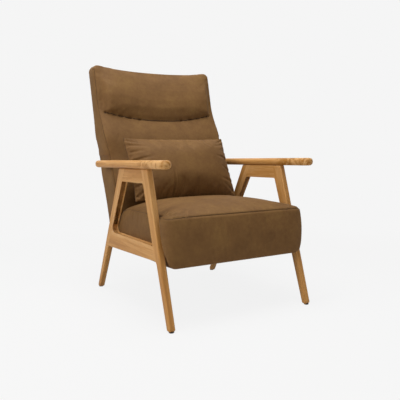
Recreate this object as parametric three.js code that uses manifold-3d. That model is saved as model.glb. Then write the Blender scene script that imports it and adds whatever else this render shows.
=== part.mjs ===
// Fireside chair: oak A-shaped side frames, an upholstered seat and high back, and a loose lumbar cushion.
// Millimetres, +Z up, the chair faces -Y. The origin is on the floor under the middle of the chair.
import * as THREE from 'three';
import { mergeVertices } from 'three/addons/utils/BufferGeometryUtils.js';
import Module from 'manifold-3d';

const wasm = await Module();
wasm.setup();

// Side frames, seen from the side: y is measured from the middle between the feet
const frameSpan = 627.4;
const frameThickness = 24.5;
const armHeight = 583;
const frontFootReach = 374;
const frontFootWidth = 24;
const frontLegTopReach = 211.5;
const frontLegTopWidth = 47.5;
const rearFootReach = 373;
const rearFootWidth = 24;
const rearLegTopReach = 58.5;
const rearLegTopWidth = 58.5;
const topRailDepth = 48;
const sideRailRise = 66;
const sideRailFrontDepth = 48;
const sideRailRearDepth = 64;
const windowTopRound = 11;
const windowFrontRound = 7;
const windowRearRound = 26;
const underRailRound = 18;
const woodEdgeRound = 5;

// Armrests
const armThickness = 30;
const armWidth = 52;
const armOverhang = 23.5;
const armFrontReach = 372;
const armRearReach = 300;
const armPlanRound = 25;
const armEdgeRound = 11;

// Joinery and hardware
const fitGap = 0.3;
const tenonThickness = 9;
const tenonLength = 18;
const topTenonHeight = 20;
const topTenonRise = 6;
const sideTenonHeight = 26;
const dowelDiameter = 8;
const dowelInArm = 14;
const dowelInLeg = 14;
const glideDiameter = 19;
const glideThickness = 3;
const glideEdge = 1;
const boltDiameter = 8;
const boltHeadDiameter = 15;
const boltHeadHeight = 4.5;
const insertDiameter = 12;
const insertLength = 15;

// Seat, with its front face at -seatFrontReach
const seatHalfWidth = 280;
const seatSideBulge = 8.9;
const seatFrontReach = 338;
const seatFrontBulge = 9;
const seatRearReach = 193;
const seatBottomHeight = 210;
const seatSeamHeight = 387;
const seatCrown = 37;
const seatCornerRound = 36;
const seatRearSlope = 163;
const seatRearLip = 73;
const seatBottomRound = 24;
const seatSideUnderRound = 18;
const coverThickness = 5;
const foamGap = 2;
const seatRailHeight = 58;
const seatRailThickness = 22;
const seatFrameInset = 35;
const seatFrameSideInset = 9;
const dustCoverThickness = 1.2;
const cornerBlockLeg = 62;
const springCount = 5;
const springWire = 3.8;
const springLoopWidth = 48;
const springLoops = 7;
const seatBoltRise = 36;
const seatBoltFrontSetback = 142;
const seatBoltRearSetback = 121;

// Back, heights from the floor
const backHeight = 1018;
const backTopDip = 25;
const backCornerRound = 20;
const backBottomRise = 6;
const backRearBottomReach = 254;
const backHeadReach = 366;
const backRake = 14;
const backHalfWidthLow = 283;
const backHalfWidthHigh = 299;
const backWidenFrom = 560;
const backWidenTo = 1000;
const backWing = 32;
const backPillow = 17;
const backTopRound = 16;
const lumbarBulge = 11;
const lumbarBulgeHeight = 530;
const lumbarBulgeSpread = 120;
const creaseHeight = 762;
const creaseRise = 44;
const creaseDepth = 7;
const headRollDepth = 30;
const backRearFullness = 5;
const backPanelRim = 18;
const backPanelThickness = 3.5;
const backFrameThickness = 22;
const backRailDepth = 55;
const backBottomRailDepth = 62;
const backBottomRailThickness = 36;
const backMiddleRailHeight = 560;
const backStileWidth = 42;
const backStileReach = 256;
const backBoltCover = 8;
const webbingCount = 4;
const webbingThickness = 2;
const webbingGap = 0.8;
const webbingWidth = 60;

// Loose lumbar cushion
const cushionHalfLength = 252;
const cushionHalfHeight = 146;
const cushionThickness = 154;
const cushionLean = 24;
const cushionFromBack = 105.8;
const cushionRise = 156;
const cushionEdge = 3;
const cushionDraw = 9;

// How many flats stand in for a round: sides of a rod, steps round an edge or a corner
const boltSides = 16;
const dowelSides = 12;
const glideSides = 20;
const edgeSteps = 2;
const armEdgeSteps = 3;
const cornerSteps = 5;
const wireSides = 3;
const stepsPerLoop = 6;

// How sharply a soft form turns down towards its seams, and a limit on how far its corners are inset
const crownPower = 5;
const fullnessPower = 8;
const drawPower = 4;
const plumpPower = 3.2;
const plumpRoundness = 0.62;
const sharpestMitre = 0.7;

const degree = Math.PI / 180;
const half = 1 / 2;
const chair = new THREE.Group();

// Heights that follow the seat's: the rails and bolts that carry it, the back bolted behind it
const sideRailHeight = seatBottomHeight + sideRailRise;
const seatBoltHeight = seatBottomHeight + seatBoltRise;
const backBottomHeight = seatBottomHeight + backBottomRise;
const cushionCentreHeight = seatSeamHeight + cushionRise;

const finishes = {
  oak: { color: 0xb98a55, roughness: 0.5, metalness: 0 },
  pine: { color: 0xcdb283, roughness: 0.8, metalness: 0 },
  leather: { color: 0x7a5b38, roughness: 0.6, metalness: 0 },
  foam: { color: 0xe6dfc9, roughness: 0.95, metalness: 0 },
  cloth: { color: 0x2c2a28, roughness: 0.95, metalness: 0 },
  webbing: { color: 0x3c342c, roughness: 0.9, metalness: 0 },
  steel: { color: 0x9a9c9e, roughness: 0.35, metalness: 1 },
  felt: { color: 0x4a4640, roughness: 0.95, metalness: 0 },
};

// Turns a closed geometry into a solid that can be joined and cut
function solidOf(geometry) {
  const bare = geometry.clone();
  bare.deleteAttribute('normal');
  bare.deleteAttribute('uv');
  const merged = mergeVertices(bare, fitGap / 1000);
  const vertProperties = new Float32Array(merged.attributes.position.array);
  const triVerts = new Uint32Array(merged.index.array);
  return new wasm.Manifold(new wasm.Mesh({ numProp: 3, vertProperties, triVerts }));
}

// Turns a solid back into a geometry
function geometryOf(solid) {
  const mesh = solid.getMesh();
  const geometry = new THREE.BufferGeometry();
  geometry.setAttribute('position', new THREE.BufferAttribute(mesh.vertProperties, 3));
  geometry.setIndex(new THREE.BufferAttribute(mesh.triVerts, 1));
  return geometry;
}

function addPiece(group, name, solid, finish) {
  const mesh = new THREE.Mesh(geometryOf(solid), new THREE.MeshStandardMaterial(finishes[finish]));
  mesh.name = name;
  group.add(mesh);
  return mesh;
}

function boxSolid(low, high) {
  const size = new THREE.Vector3().subVectors(high, low);
  const centre = new THREE.Vector3().addVectors(high, low).multiplyScalar(half);
  const geometry = new THREE.BoxGeometry(size.x, size.y, size.z);
  return solidOf(geometry.translate(centre.x, centre.y, centre.z));
}

// A cylinder with its axis from one point to another
function rodSolid(from, to, diameter, sides = boltSides) {
  const axis = new THREE.Vector3().subVectors(to, from);
  const centre = new THREE.Vector3().addVectors(to, from).multiplyScalar(half);
  const geometry = new THREE.CylinderGeometry(diameter * half, diameter * half, axis.length(), sides);
  const turn = new THREE.Quaternion().setFromUnitVectors(new THREE.Vector3(0, 1, 0), axis.normalize());
  return solidOf(geometry.applyQuaternion(turn).translate(centre.x, centre.y, centre.z));
}

// A closed path through corners [a, b, radius], each corner rounded by a curve
function roundedPath(path, corners) {
  corners.forEach(([a, b, radius], i) => {
    const corner = new THREE.Vector2(a, b);
    const before = new THREE.Vector2(...corners.at(i - 1)).sub(corner).normalize();
    const after = new THREE.Vector2(...corners[(i + 1) % corners.length]).sub(corner).normalize();
    const halfAngle = Math.acos(before.dot(after)) * half;
    const reach = radius / Math.tan(halfAngle);
    const start = before.multiplyScalar(reach).add(corner);
    const end = after.multiplyScalar(reach).add(corner);
    if (i === 0) path.moveTo(start.x, start.y);
    else path.lineTo(start.x, start.y);
    if (radius > 0) path.quadraticCurveTo(corner.x, corner.y, end.x, end.y);
  });
  path.closePath();
  return path;
}

// Extrudes a side-view outline (y, z) across X, centred on x = 0, with rounded edges
function sideExtrude(shape, thickness, edge) {
  const geometry = new THREE.ExtrudeGeometry(shape, {
    depth: thickness - edge * 2,
    bevelEnabled: edge > 0,
    bevelThickness: edge,
    bevelSize: edge,
    bevelOffset: -edge,
    bevelSegments: edgeSteps,
    curveSegments: cornerSteps,
  });
  geometry.translate(0, 0, edge - thickness * half);
  const toSide = new THREE.Matrix4().makeBasis(
    new THREE.Vector3(0, 1, 0),
    new THREE.Vector3(0, 0, 1),
    new THREE.Vector3(1, 0, 0),
  );
  return solidOf(geometry.applyMatrix4(toSide));
}

// Skins a row of rings from -X to +X, each counter-clockwise as seen from +X. A paired ring has its
// points across from each other, so its end is closed by a ladder of faces between them.
function loft(rings, paired = false) {
  const count = rings[0].length;
  const positions = rings.flat().flatMap((point) => [point.x, point.y, point.z]);
  const index = [];
  for (let ring = 0; ring + 1 < rings.length; ring += 1) {
    for (let i = 0; i < count; i += 1) {
      const a = ring * count + i;
      const b = ring * count + ((i + 1) % count);
      index.push(a, b, a + count, b, b + count, a + count);
    }
  }
  const outline = (ring) => ring.map((point) => new THREE.Vector2(point.y, point.z));
  const faces = (ring) => (paired ? ladder(count) : THREE.ShapeUtils.triangulateShape(outline(ring), []));
  const lastStart = (rings.length - 1) * count;
  faces(rings[0]).forEach(([a, b, c]) => index.push(a, c, b));
  faces(rings.at(-1)).forEach(([a, b, c]) => index.push(lastStart + a, lastStart + b, lastStart + c));
  const geometry = new THREE.BufferGeometry();
  geometry.setAttribute('position', new THREE.Float32BufferAttribute(positions, 3));
  geometry.setIndex(index);
  return solidOf(geometry);
}

// The faces between the two halves of a ring
function ladder(count) {
  const faces = [];
  for (let i = 0; i + 1 < count * half; i += 1) {
    const across = count - 1 - i;
    if (across - 1 > i + 1) faces.push([i, i + 1, across - 1]);
    faces.push([i, across - 1, across]);
  }
  return faces;
}

// Moves each side of a counter-clockwise side-view loop inwards by a distance
function insetLoop(loop, distance) {
  if (distance === 0) return loop;
  return loop.map((point, i) => {
    const before = loop.at(i - 1);
    const after = loop[(i + 1) % loop.length];
    const arriving = new THREE.Vector2(point.y - before.y, point.z - before.z).normalize();
    const leaving = new THREE.Vector2(after.y - point.y, after.z - point.z).normalize();
    const along = leaving.clone().add(arriving).normalize();
    const mitred = distance / Math.max(along.dot(leaving), sharpestMitre);
    return { x: point.x, y: point.y - along.y * mitred, z: point.z + along.x * mitred };
  });
}

const smooth = (value, from, to) => THREE.MathUtils.smoothstep(value, from, to);
const blend = (a, b, share) => a + (b - a) * share;

// Side frame lines: y of each leg edge at a height, and the underside of the side rail
const frameTop = armHeight - armThickness - fitGap;
const frameBottom = glideThickness + fitGap;
const frameCentre = (frameSpan - frameThickness) * half;
const frameInside = frameSpan * half - frameThickness;
const legLine = (foot, top) => (z) => blend(foot, top, z / frameTop);
const frontLegFront = legLine(-frontFootReach, -frontLegTopReach);
const frontLegRear = legLine(frontFootWidth - frontFootReach, frontLegTopWidth - frontLegTopReach);
const rearLegFront = legLine(rearFootReach - rearFootWidth, rearLegTopReach - rearLegTopWidth);
const rearLegRear = legLine(rearFootReach, rearLegTopReach);
const windowTop = frameTop - topRailDepth;
const railFrontBottom = sideRailHeight - sideRailFrontDepth;
const railRearBottom = sideRailHeight - sideRailRearDepth;

// The whole A of one side frame, before it is parted into its members
function frameOutline() {
  const shape = roundedPath(new THREE.Shape(), [
    [frontLegFront(frameBottom), frameBottom, 0],
    [frontLegRear(frameBottom), frameBottom, 0],
    [frontLegRear(railFrontBottom), railFrontBottom, underRailRound],
    [rearLegFront(railRearBottom), railRearBottom, underRailRound],
    [rearLegFront(frameBottom), frameBottom, 0],
    [rearLegRear(frameBottom), frameBottom, 0],
    [rearLegRear(frameTop), frameTop, 0],
    [frontLegFront(frameTop), frameTop, 0],
  ]);
  shape.holes.push(roundedPath(new THREE.Path(), [
    [frontLegRear(windowTop), windowTop, windowTopRound],
    [rearLegFront(windowTop), windowTop, windowTopRound],
    [rearLegFront(sideRailHeight), sideRailHeight, windowRearRound],
    [frontLegRear(sideRailHeight), sideRailHeight, windowFrontRound],
  ]));
  return shape;
}

// The slab of space between two slanting lines and two heights
function slantedRegion(frontLine, rearLine, low, high) {
  const shape = new THREE.Shape([
    new THREE.Vector2(frontLine(low), low),
    new THREE.Vector2(rearLine(low), low),
    new THREE.Vector2(rearLine(high), high),
    new THREE.Vector2(frontLine(high), high),
  ]);
  return sideExtrude(shape, frameThickness * 2, 0);
}

// A tenon at both ends of a rail, or the mortises it needs when grown
function tenonBar(low, height, grow) {
  const middle = low + height * half;
  const y0 = frontLegRear(middle) - tenonLength - grow;
  const y1 = rearLegFront(middle) + tenonLength + grow;
  const x = tenonThickness * half + grow;
  return boxSolid(new THREE.Vector3(-x, y0, low - grow), new THREE.Vector3(x, y1, low + height + grow));
}

// Dowels stand in the middle of each leg's top
const dowelPlaces = {
  front: frontLegTopWidth * half - frontLegTopReach,
  rear: rearLegTopReach - rearLegTopWidth * half,
};

function dowelSolid(y, grow) {
  const low = new THREE.Vector3(0, y, frameTop - dowelInLeg - grow);
  const high = new THREE.Vector3(0, y, frameTop + fitGap + dowelInArm + grow);
  return rodSolid(low, high, dowelDiameter + grow * 2, dowelSides);
}

// Bolts run along X through the seat's side rail into inserts in the frame's side rail
const seatBoltPlaces = {
  front: seatBoltFrontSetback - seatFrontReach,
  rear: seatRearReach - seatBoltRearSetback,
};

function crossHole(y, z, diameter, from, to) {
  return rodSolid(new THREE.Vector3(from, y, z), new THREE.Vector3(to, y, z), diameter);
}

function buildSideFrame(side) {
  const group = new THREE.Group();
  const label = side < 0 ? 'left' : 'right';
  const whole = sideExtrude(frameOutline(), frameThickness, woodEdgeRound);
  const margin = topRailDepth;
  const low = -margin;
  const high = frameTop + margin;
  const middle = (windowTop + sideRailHeight) * half;
  const farFront = () => -frontFootReach - margin;
  const farRear = () => rearFootReach + margin;
  const railFront = (z) => frontLegRear(z) + fitGap;
  const railRear = (z) => rearLegFront(z) - fitGap;
  const sideTenonLow = (railFrontBottom + sideRailHeight - sideTenonHeight) * half;
  const bars = (grow) => tenonBar(windowTop + topTenonRise, topTenonHeight, grow)
    .add(tenonBar(sideTenonLow, sideTenonHeight, grow));
  const topBar = tenonBar(windowTop + topTenonRise, topTenonHeight, 0);
  const sideBar = tenonBar(sideTenonLow, sideTenonHeight, 0);
  const insideFace = -side * frameThickness * half;
  let sideRail = whole.intersect(slantedRegion(railFront, railRear, low, middle)).add(sideBar);
  Object.values(seatBoltPlaces).forEach((y) => {
    const hole = [y, seatBoltHeight, insertDiameter + fitGap * 2, insideFace - side * fitGap];
    sideRail = sideRail.subtract(crossHole(...hole, insideFace + side * (insertLength + fitGap)));
  });
  const mortises = bars(fitGap);
  const frontLeg = whole.intersect(slantedRegion(farFront, frontLegRear, low, high));
  const rearLeg = whole.intersect(slantedRegion(rearLegFront, farRear, low, high));
  const topRail = whole.intersect(slantedRegion(railFront, railRear, middle, high)).add(topBar);
  const frontDowelHole = dowelSolid(dowelPlaces.front, fitGap);
  const rearDowelHole = dowelSolid(dowelPlaces.rear, fitGap);
  addPiece(group, `${label}_front_leg`, frontLeg.subtract(mortises).subtract(frontDowelHole), 'oak');
  addPiece(group, `${label}_rear_leg`, rearLeg.subtract(mortises).subtract(rearDowelHole), 'oak');
  addPiece(group, `${label}_top_rail`, topRail, 'oak');
  addPiece(group, `${label}_side_rail`, sideRail, 'oak');
  const holes = frontDowelHole.add(rearDowelHole);
  addPiece(group, `${label}_armrest`, armrestSolid(side).subtract(holes), 'oak');
  Object.entries(dowelPlaces).forEach(([place, y]) => {
    addPiece(group, `${label}_${place}_arm_dowel`, dowelSolid(y, 0), 'oak');
  });
  addGlides(group, label);
  addInserts(group, label, side, insideFace);
  group.position.x = side * frameCentre;
  chair.add(group);
}

// A flat board with round ends and rolled edges that stands out past the frame
function armrestSolid(side) {
  const outer = frameThickness * half + armOverhang;
  const inner = outer - armWidth;
  const shape = roundedPath(new THREE.Shape(), [
    [side * inner, -armFrontReach, armPlanRound],
    [side * outer, -armFrontReach, armPlanRound],
    [side * outer, armRearReach, armPlanRound],
    [side * inner, armRearReach, armPlanRound],
  ]);
  const geometry = new THREE.ExtrudeGeometry(shape, {
    depth: armThickness - armEdgeRound * 2,
    bevelThickness: armEdgeRound,
    bevelSize: armEdgeRound,
    bevelOffset: -armEdgeRound,
    bevelSegments: armEdgeSteps,
    curveSegments: cornerSteps,
  });
  return solidOf(geometry.translate(0, 0, armHeight - armThickness + armEdgeRound));
}

// Nailed felt glides under the feet
function addGlides(group, label) {
  const radius = glideDiameter * half;
  const profile = [
    new THREE.Vector2(0, 0),
    new THREE.Vector2(radius - glideEdge, 0),
    new THREE.Vector2(radius, glideEdge),
    new THREE.Vector2(radius, glideThickness),
    new THREE.Vector2(0, glideThickness),
  ];
  const feet = {
    front: (frontLegFront(0) + frontLegRear(0)) * half,
    rear: (rearLegFront(0) + rearLegRear(0)) * half,
  };
  Object.entries(feet).forEach(([place, y]) => {
    const upright = new THREE.LatheGeometry(profile, glideSides).rotateX(90 * degree);
    const mesh = addPiece(group, `${label}_${place}_glide`, solidOf(upright), 'felt');
    mesh.position.y = y;
  });
}

// Threaded inserts that take the seat bolts
function addInserts(group, label, side, insideFace) {
  Object.entries(seatBoltPlaces).forEach(([place, y]) => {
    const body = crossHole(y, seatBoltHeight, insertDiameter, insideFace, insideFace + side * insertLength);
    const bore = [y, seatBoltHeight, boltDiameter + fitGap * 2, insideFace - side * boltDiameter];
    const insert = body.subtract(crossHole(...bore, insideFace + side * (insertLength + boltDiameter)));
    addPiece(group, `${label}_${place}_insert`, insert, 'steel');
  });
}

// Seat profile at one station: a closed side-view loop, u is 0 in the middle and 1 at the side seam
const seatCrownShares = [0.28, 0.55, 0.8, 0.95, 1, 1, 0.97, 0.9];
const seatCrownPlaceShares = [0.03, 0.08, 0.18, 0.32, 0.5, 0.68, 0.86, 1];
const seatSlopeSteps = 5;
const seatFrontShares = [[1, 0], [0.82, 0.7], [0.55, 1], [0.3, 0.8]];

// How far an outline has turned inwards at a share of its half width, where a round takes its corner
function turnedCorner(u, halfWidth, round) {
  const into = Math.max(0, (Math.abs(u) - 1) * halfWidth + round) / round;
  return round * (1 - Math.sqrt(1 - into * into));
}

function seatLoop(u, inset) {
  const front = -seatFrontReach + turnedCorner(u, seatHalfWidth, seatCornerRound + inset);
  const bottom = seatBottomHeight + turnedCorner(u, seatHalfWidth, seatSideUnderRound);
  const crown = seatCrown * (1 - Math.abs(u) ** crownPower);
  const slopeStart = seatRearReach - seatRearSlope;
  const rearHeight = seatBottomHeight + seatRearLip;
  const loop = [];
  seatFrontShares.slice().reverse().forEach(([heightShare, bulgeShare]) => {
    loop.push({ y: front - seatFrontBulge * bulgeShare, z: blend(bottom, seatSeamHeight, heightShare) });
  });
  seatCrownPlaceShares.forEach((share, i) => {
    loop.push({ y: blend(front, slopeStart, share), z: seatSeamHeight + crown * seatCrownShares[i] });
  });
  const slopeTop = seatSeamHeight + crown * seatCrownShares.at(-1);
  for (let i = 1; i <= seatSlopeSteps; i += 1) {
    const angle = (i / seatSlopeSteps) * 90 * degree;
    loop.push({
      y: slopeStart + seatRearSlope * Math.sin(angle),
      z: rearHeight + (slopeTop - rearHeight) * Math.cos(angle),
    });
  }
  loop.push({ y: seatRearReach, z: bottom + seatBottomRound * half });
  loop.push({ y: seatRearReach - seatBottomRound * half, z: bottom });
  loop.push({ y: front + seatBottomRound, z: bottom });
  const turn = seatBottomRound * (1 - Math.SQRT1_2);
  loop.push({ y: front + turn, z: bottom + turn });
  return loop.reverse();
}

const stationShares = [0, 0.3, 0.58, 0.8, 0.88, 0.935, 0.965, 0.988, 1];
const mirroredStations = [...stationShares.slice(1).reverse().map((u) => -u), ...stationShares];
const sideBulgeRings = [[0.82, 0.7], [0.5, 0.95], [0.2, 1]];

// The seat's outer form, or the same form shrunk all round by an inset
function seatForm(inset) {
  const ringAt = (u, x) => insetLoop(seatLoop(u, inset), inset).map((point) => ({ ...point, x }));
  const reach = seatHalfWidth - inset;
  const body = mirroredStations.map((u) => ringAt(u, u * reach));
  const centreY = (seatRearReach - seatFrontReach) * half;
  const centreZ = (seatBottomHeight + seatSeamHeight) * half;
  const domed = (side) => sideBulgeRings.map(([size, bulge]) => ringAt(side, 0).map((point) => ({
    x: side * (reach + seatSideBulge * bulge),
    y: blend(centreY, point.y, size),
    z: blend(centreZ, point.z, size),
  })));
  return loft([...domed(-1).reverse(), ...body, ...domed(1)]);
}

// The seat's wooden frame, its springs, foam, cover and dust cover
const seatFrame = {
  front: -seatFrontReach + seatFrameInset,
  rear: seatRearReach - seatFrameSideInset - coverThickness,
  side: seatHalfWidth - seatFrameSideInset - coverThickness,
  low: seatBottomHeight + dustCoverThickness + fitGap,
};
seatFrame.high = seatFrame.low + seatRailHeight;

function seatBoltHole(side, y, grow) {
  const head = side * (seatFrame.side - seatRailThickness);
  const tip = side * (frameInside + insertLength);
  return crossHole(y, seatBoltHeight, boltDiameter + grow * 2, head - side * boltDiameter, tip);
}

function buildSeat() {
  const group = new THREE.Group();
  const { front, rear, side, low, high } = seatFrame;
  const wall = seatRailThickness;
  const gap = fitGap;
  let boltHoles = seatBoltHole(-1, seatBoltPlaces.front, gap);
  [[-1, 'rear'], [1, 'front'], [1, 'rear']].forEach(([s, place]) => {
    boltHoles = boltHoles.add(seatBoltHole(s, seatBoltPlaces[place], gap));
  });
  const backHoles = backBoltXs.map((x) => backBoltSolid(x, gap)).reduce((a, b) => a.add(b));
  const rail = (x0, x1, y0, y1) => boxSolid(new THREE.Vector3(x0, y0, low), new THREE.Vector3(x1, y1, high));
  addPiece(group, 'seat_front_rail', rail(-side, side, front, front + wall), 'pine');
  addPiece(group, 'seat_rear_rail', rail(-side, side, rear - wall, rear).subtract(backHoles), 'pine');
  [-1, 1].forEach((s) => {
    const edges = [s * side, s * (side - wall)].sort((a, b) => a - b);
    const board = rail(...edges, front + wall + gap, rear - wall - gap).subtract(boltHoles);
    addPiece(group, `seat_${s < 0 ? 'left' : 'right'}_rail`, board, 'pine');
    addCornerBlocks(group, s);
  });
  addSprings(group);
  const block = boxSolid(
    new THREE.Vector3(-side - gap, front - gap, low - high),
    new THREE.Vector3(side + gap, rear + gap, high + springWire + gap * 2),
  );
  const cavity = seatForm(coverThickness);
  const opening = boxSolid(
    new THREE.Vector3(-side, front, 0),
    new THREE.Vector3(side, rear, seatBottomHeight + coverThickness * 2),
  );
  const cover = seatForm(0).subtract(cavity).subtract(opening);
  const foam = seatForm(coverThickness + foamGap).subtract(block);
  addPiece(group, 'seat_cover', cover.subtract(boltHoles).subtract(backHoles), 'leather');
  addPiece(group, 'seat_foam', foam.subtract(boltHoles).subtract(backHoles), 'foam');
  const dust = boxSolid(
    new THREE.Vector3(-side + gap, front + gap, seatBottomHeight),
    new THREE.Vector3(side - gap, rear - gap, seatBottomHeight + dustCoverThickness),
  );
  addPiece(group, 'seat_dust_cover', dust, 'cloth');
  chair.add(group);
  addSeatBolts(group);
}

// Three-cornered blocks glued into the front and rear corners of the seat frame
function addCornerBlocks(group, s) {
  const { front, rear, side, low } = seatFrame;
  const corners = { front: [front, 1], rear: [rear, -1] };
  Object.entries(corners).forEach(([place, [edge, inwards]]) => {
    const x = s * (side - seatRailThickness - fitGap);
    const y = edge + inwards * (seatRailThickness + fitGap);
    const shape = new THREE.Shape([
      new THREE.Vector2(x, y),
      new THREE.Vector2(x - s * cornerBlockLeg, y),
      new THREE.Vector2(x, y + inwards * cornerBlockLeg),
    ]);
    const geometry = new THREE.ExtrudeGeometry(shape, { depth: seatRailThickness * 2, bevelEnabled: false });
    const block = solidOf(geometry.translate(0, 0, low));
    addPiece(group, `seat_${s < 0 ? 'left' : 'right'}_${place}_block`, block, 'pine');
  });
}

// Zigzag springs lie across the tops of the front and rear rails
class SpringLine extends THREE.Curve {
  constructor(length) {
    super();
    this.length = length;
  }

  getPoint(t, target = new THREE.Vector3()) {
    const turns = springLoops * Math.PI * 2;
    const ends = smooth(t, 0, half / springLoops) * (1 - smooth(t, 1 - half / springLoops, 1));
    const swing = springLoopWidth * half * Math.sin(turns * t) * ends;
    return target.set(swing, (t - half) * this.length, 0);
  }
}

function addSprings(group) {
  const { front, rear, side, high } = seatFrame;
  const pitch = (side * 2 - seatRailThickness * 2) / springCount;
  const section = new THREE.Shape();
  section.absarc(0, 0, springWire * half, 0, 360 * degree);
  for (let i = 0; i < springCount; i += 1) {
    const geometry = new THREE.ExtrudeGeometry(section, {
      steps: springLoops * stepsPerLoop,
      curveSegments: wireSides,
      extrudePath: new SpringLine(rear - front - seatRailThickness),
    });
    const mesh = addPiece(group, `seat_spring_${i + 1}`, solidOf(geometry), 'steel');
    const x = pitch * (i - (springCount - 1) * half);
    mesh.position.set(x, (front + rear) * half, high + springWire * half + fitGap);
  }
}

function addSeatBolts(group) {
  [-1, 1].forEach((s) => {
    Object.entries(seatBoltPlaces).forEach(([place, y]) => {
      const face = s * (seatFrame.side - seatRailThickness - fitGap);
      const tip = s * (frameInside + insertLength - fitGap * 2);
      const head = crossHole(y, seatBoltHeight, boltHeadDiameter, face, face - s * boltHeadHeight);
      const shank = crossHole(y, seatBoltHeight, boltDiameter, face - s * boltHeadHeight * half, tip);
      addPiece(group, `seat_${s < 0 ? 'left' : 'right'}_${place}_bolt`, head.add(shank), 'steel');
    });
  });
}

// Back lines: the front edge of the side leaves the seat, comes forward behind the lumbar cushion, leans
// back with the occupant and straightens beside the head
const backSideHeightShares = [0, 0.13, 0.317, 0.379, 0.479, 0.579, 0.678, 0.778, 0.853, 1];
const backSideReachShares = [0.541, 0.566, 0.538, 0.571, 0.672, 0.765, 0.852, 0.948, 0.975, 1];

function backFrontEdge(z) {
  const share = THREE.MathUtils.inverseLerp(backBottomHeight, backHeight, z);
  const above = backSideHeightShares.findIndex((height) => height >= share);
  if (above === 0) return backSideReachShares[0] * backHeadReach;
  const next = above < 0 ? backSideHeightShares.length - 1 : above;
  const [low, high] = backSideHeightShares.slice(next - 1, next + 1);
  const [near, far] = backSideReachShares.slice(next - 1, next + 1);
  return backHeadReach * blend(near, far, THREE.MathUtils.inverseLerp(low, high, share));
}

const backRearEdge = (z) => backRearBottomReach + Math.tan(backRake * degree) * (z - backBottomHeight);
const backWidening = (z) => smooth(z, backWidenFrom, backWidenTo);
const backHalfWidth = (z) => blend(backHalfWidthLow, backHalfWidthHigh, backWidening(z));
const backCorner = (u) => turnedCorner(u, backHalfWidthHigh, backCornerRound);
const backTop = (u) => backHeight - backTopDip * (1 - u * u) - backCorner(u);
const backCurve = (z, u) => backWing * smooth(z, seatSeamHeight, backHeight) * (1 - u * u);
const crease = (u) => creaseHeight + creaseRise * u * u;
const fullness = (u) => 1 - Math.min(1, Math.abs(u)) ** fullnessPower;

// Heights of the rows below the crease, and rows above it with how far the head roll stands out there
const bodyShares = [0, 0.16, 0.25, 0.4, 0.52, 0.64, 0.76, 0.88, 0.965];
const rollShares = [[0, 0], [0.1, 0.62], [0.24, 0.95], [0.42, 1], [0.62, 0.8], [0.82, 0.42]];

function backFrontPoint(z, u, rollShare) {
  const above = smooth(z, seatSeamHeight, seatSeamHeight + cushionHalfHeight * half);
  const lumbar = Math.exp(-(((z - lumbarBulgeHeight) / lumbarBulgeSpread) ** 2)) * (1 - u * u);
  const pillow = (backPillow * fullness(u) + lumbarBulge * lumbar) * above;
  const roll = headRollDepth * rollShare * fullness(u);
  return { x: u * backHalfWidth(z), y: backFrontEdge(z) + backCurve(z, u) - pillow - roll, z };
}

// A point at a depth in from the rear surface
function backRearPoint(z, x, depth = 0) {
  const u = x / backHalfWidth(z);
  return { x, y: backRearEdge(z) + backCurve(z, u) + backRearFullness * fullness(u) - depth, z };
}

function backLoop(u) {
  const top = backTop(u);
  const shoulder = top - backTopRound;
  const fold = crease(u);
  const turn = backTopRound * (1 - Math.SQRT1_2);
  const body = bodyShares.map((share) => backFrontPoint(blend(backBottomHeight, fold, share), u, 0));
  const roll = rollShares.map(([height, out], i) => {
    const point = backFrontPoint(blend(fold, shoulder, height), u, out);
    if (i === 0) point.y += creaseDepth * fullness(u);
    return point;
  });
  const rear = [...body, ...roll].map(({ x, z }) => backRearPoint(z, x)).reverse();
  const frontShoulder = backFrontPoint(shoulder, u, 0);
  const rearShoulder = backRearPoint(shoulder, frontShoulder.x);
  const crown = [
    frontShoulder,
    { ...frontShoulder, y: frontShoulder.y + turn, z: top - turn },
    { ...frontShoulder, y: frontShoulder.y + backTopRound, z: top },
    { ...rearShoulder, y: rearShoulder.y - backTopRound, z: top },
    { ...rearShoulder, y: rearShoulder.y - turn, z: top - turn },
    rearShoulder,
  ];
  return [...body, ...roll, ...crown, ...rear].reverse();
}

// The back's outer form, or the same form shrunk all round by an inset
function backForm(inset) {
  return loft(mirroredStations.map((u) => insetLoop(backLoop(u), inset).map((point) => {
    const reach = backHalfWidth(point.z);
    return { ...point, x: point.x * ((reach - inset) / reach) };
  })), true);
}

// A curved board that follows the rear surface: left and right edge, bottom and top, near and far depth
function backBoard([left, right], [bottom, top], [near, far], [stepsAcross, stepsUp]) {
  const rows = Array.from({ length: stepsUp + 1 }, (_, i) => blend(bottom, top, i / stepsUp));
  const columns = Array.from({ length: stepsAcross + 1 }, (_, i) => blend(left, right, i / stepsAcross));
  return loft(columns.map((x) => [
    ...rows.map((z) => backRearPoint(z, x, far)),
    ...rows.slice().reverse().map((z) => backRearPoint(z, x, near)),
  ].reverse()), true);
}

// Steps across and up for each kind of curved board
const panelSteps = [10, 9];
const stileSteps = [2, 9];
const railSteps = [6, 1];
const strapSteps = [10, 1];
const clearanceSteps = [26, 14];

const backBoltPlaceShares = [-0.56, -0.2, 0.2, 0.56];
const backBoltXs = backBoltPlaceShares.map((share) => share * backHalfWidthLow);

// Depths in from the rear surface: panel, frame, webbing, foam
const layer = (near, thickness) => [near, near + thickness];
const backFrameDepths = layer(coverThickness + fitGap, backFrameThickness);
const backBottomRailDepths = layer(coverThickness + fitGap, backBottomRailThickness);
const backWebbingDepths = layer(backFrameDepths[1] + webbingGap, webbingThickness);
const backFrameHeights = [
  backBottomHeight + backPanelRim + fitGap,
  backHeight - backTopDip - backTopRound * 2 - coverThickness,
];

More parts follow.
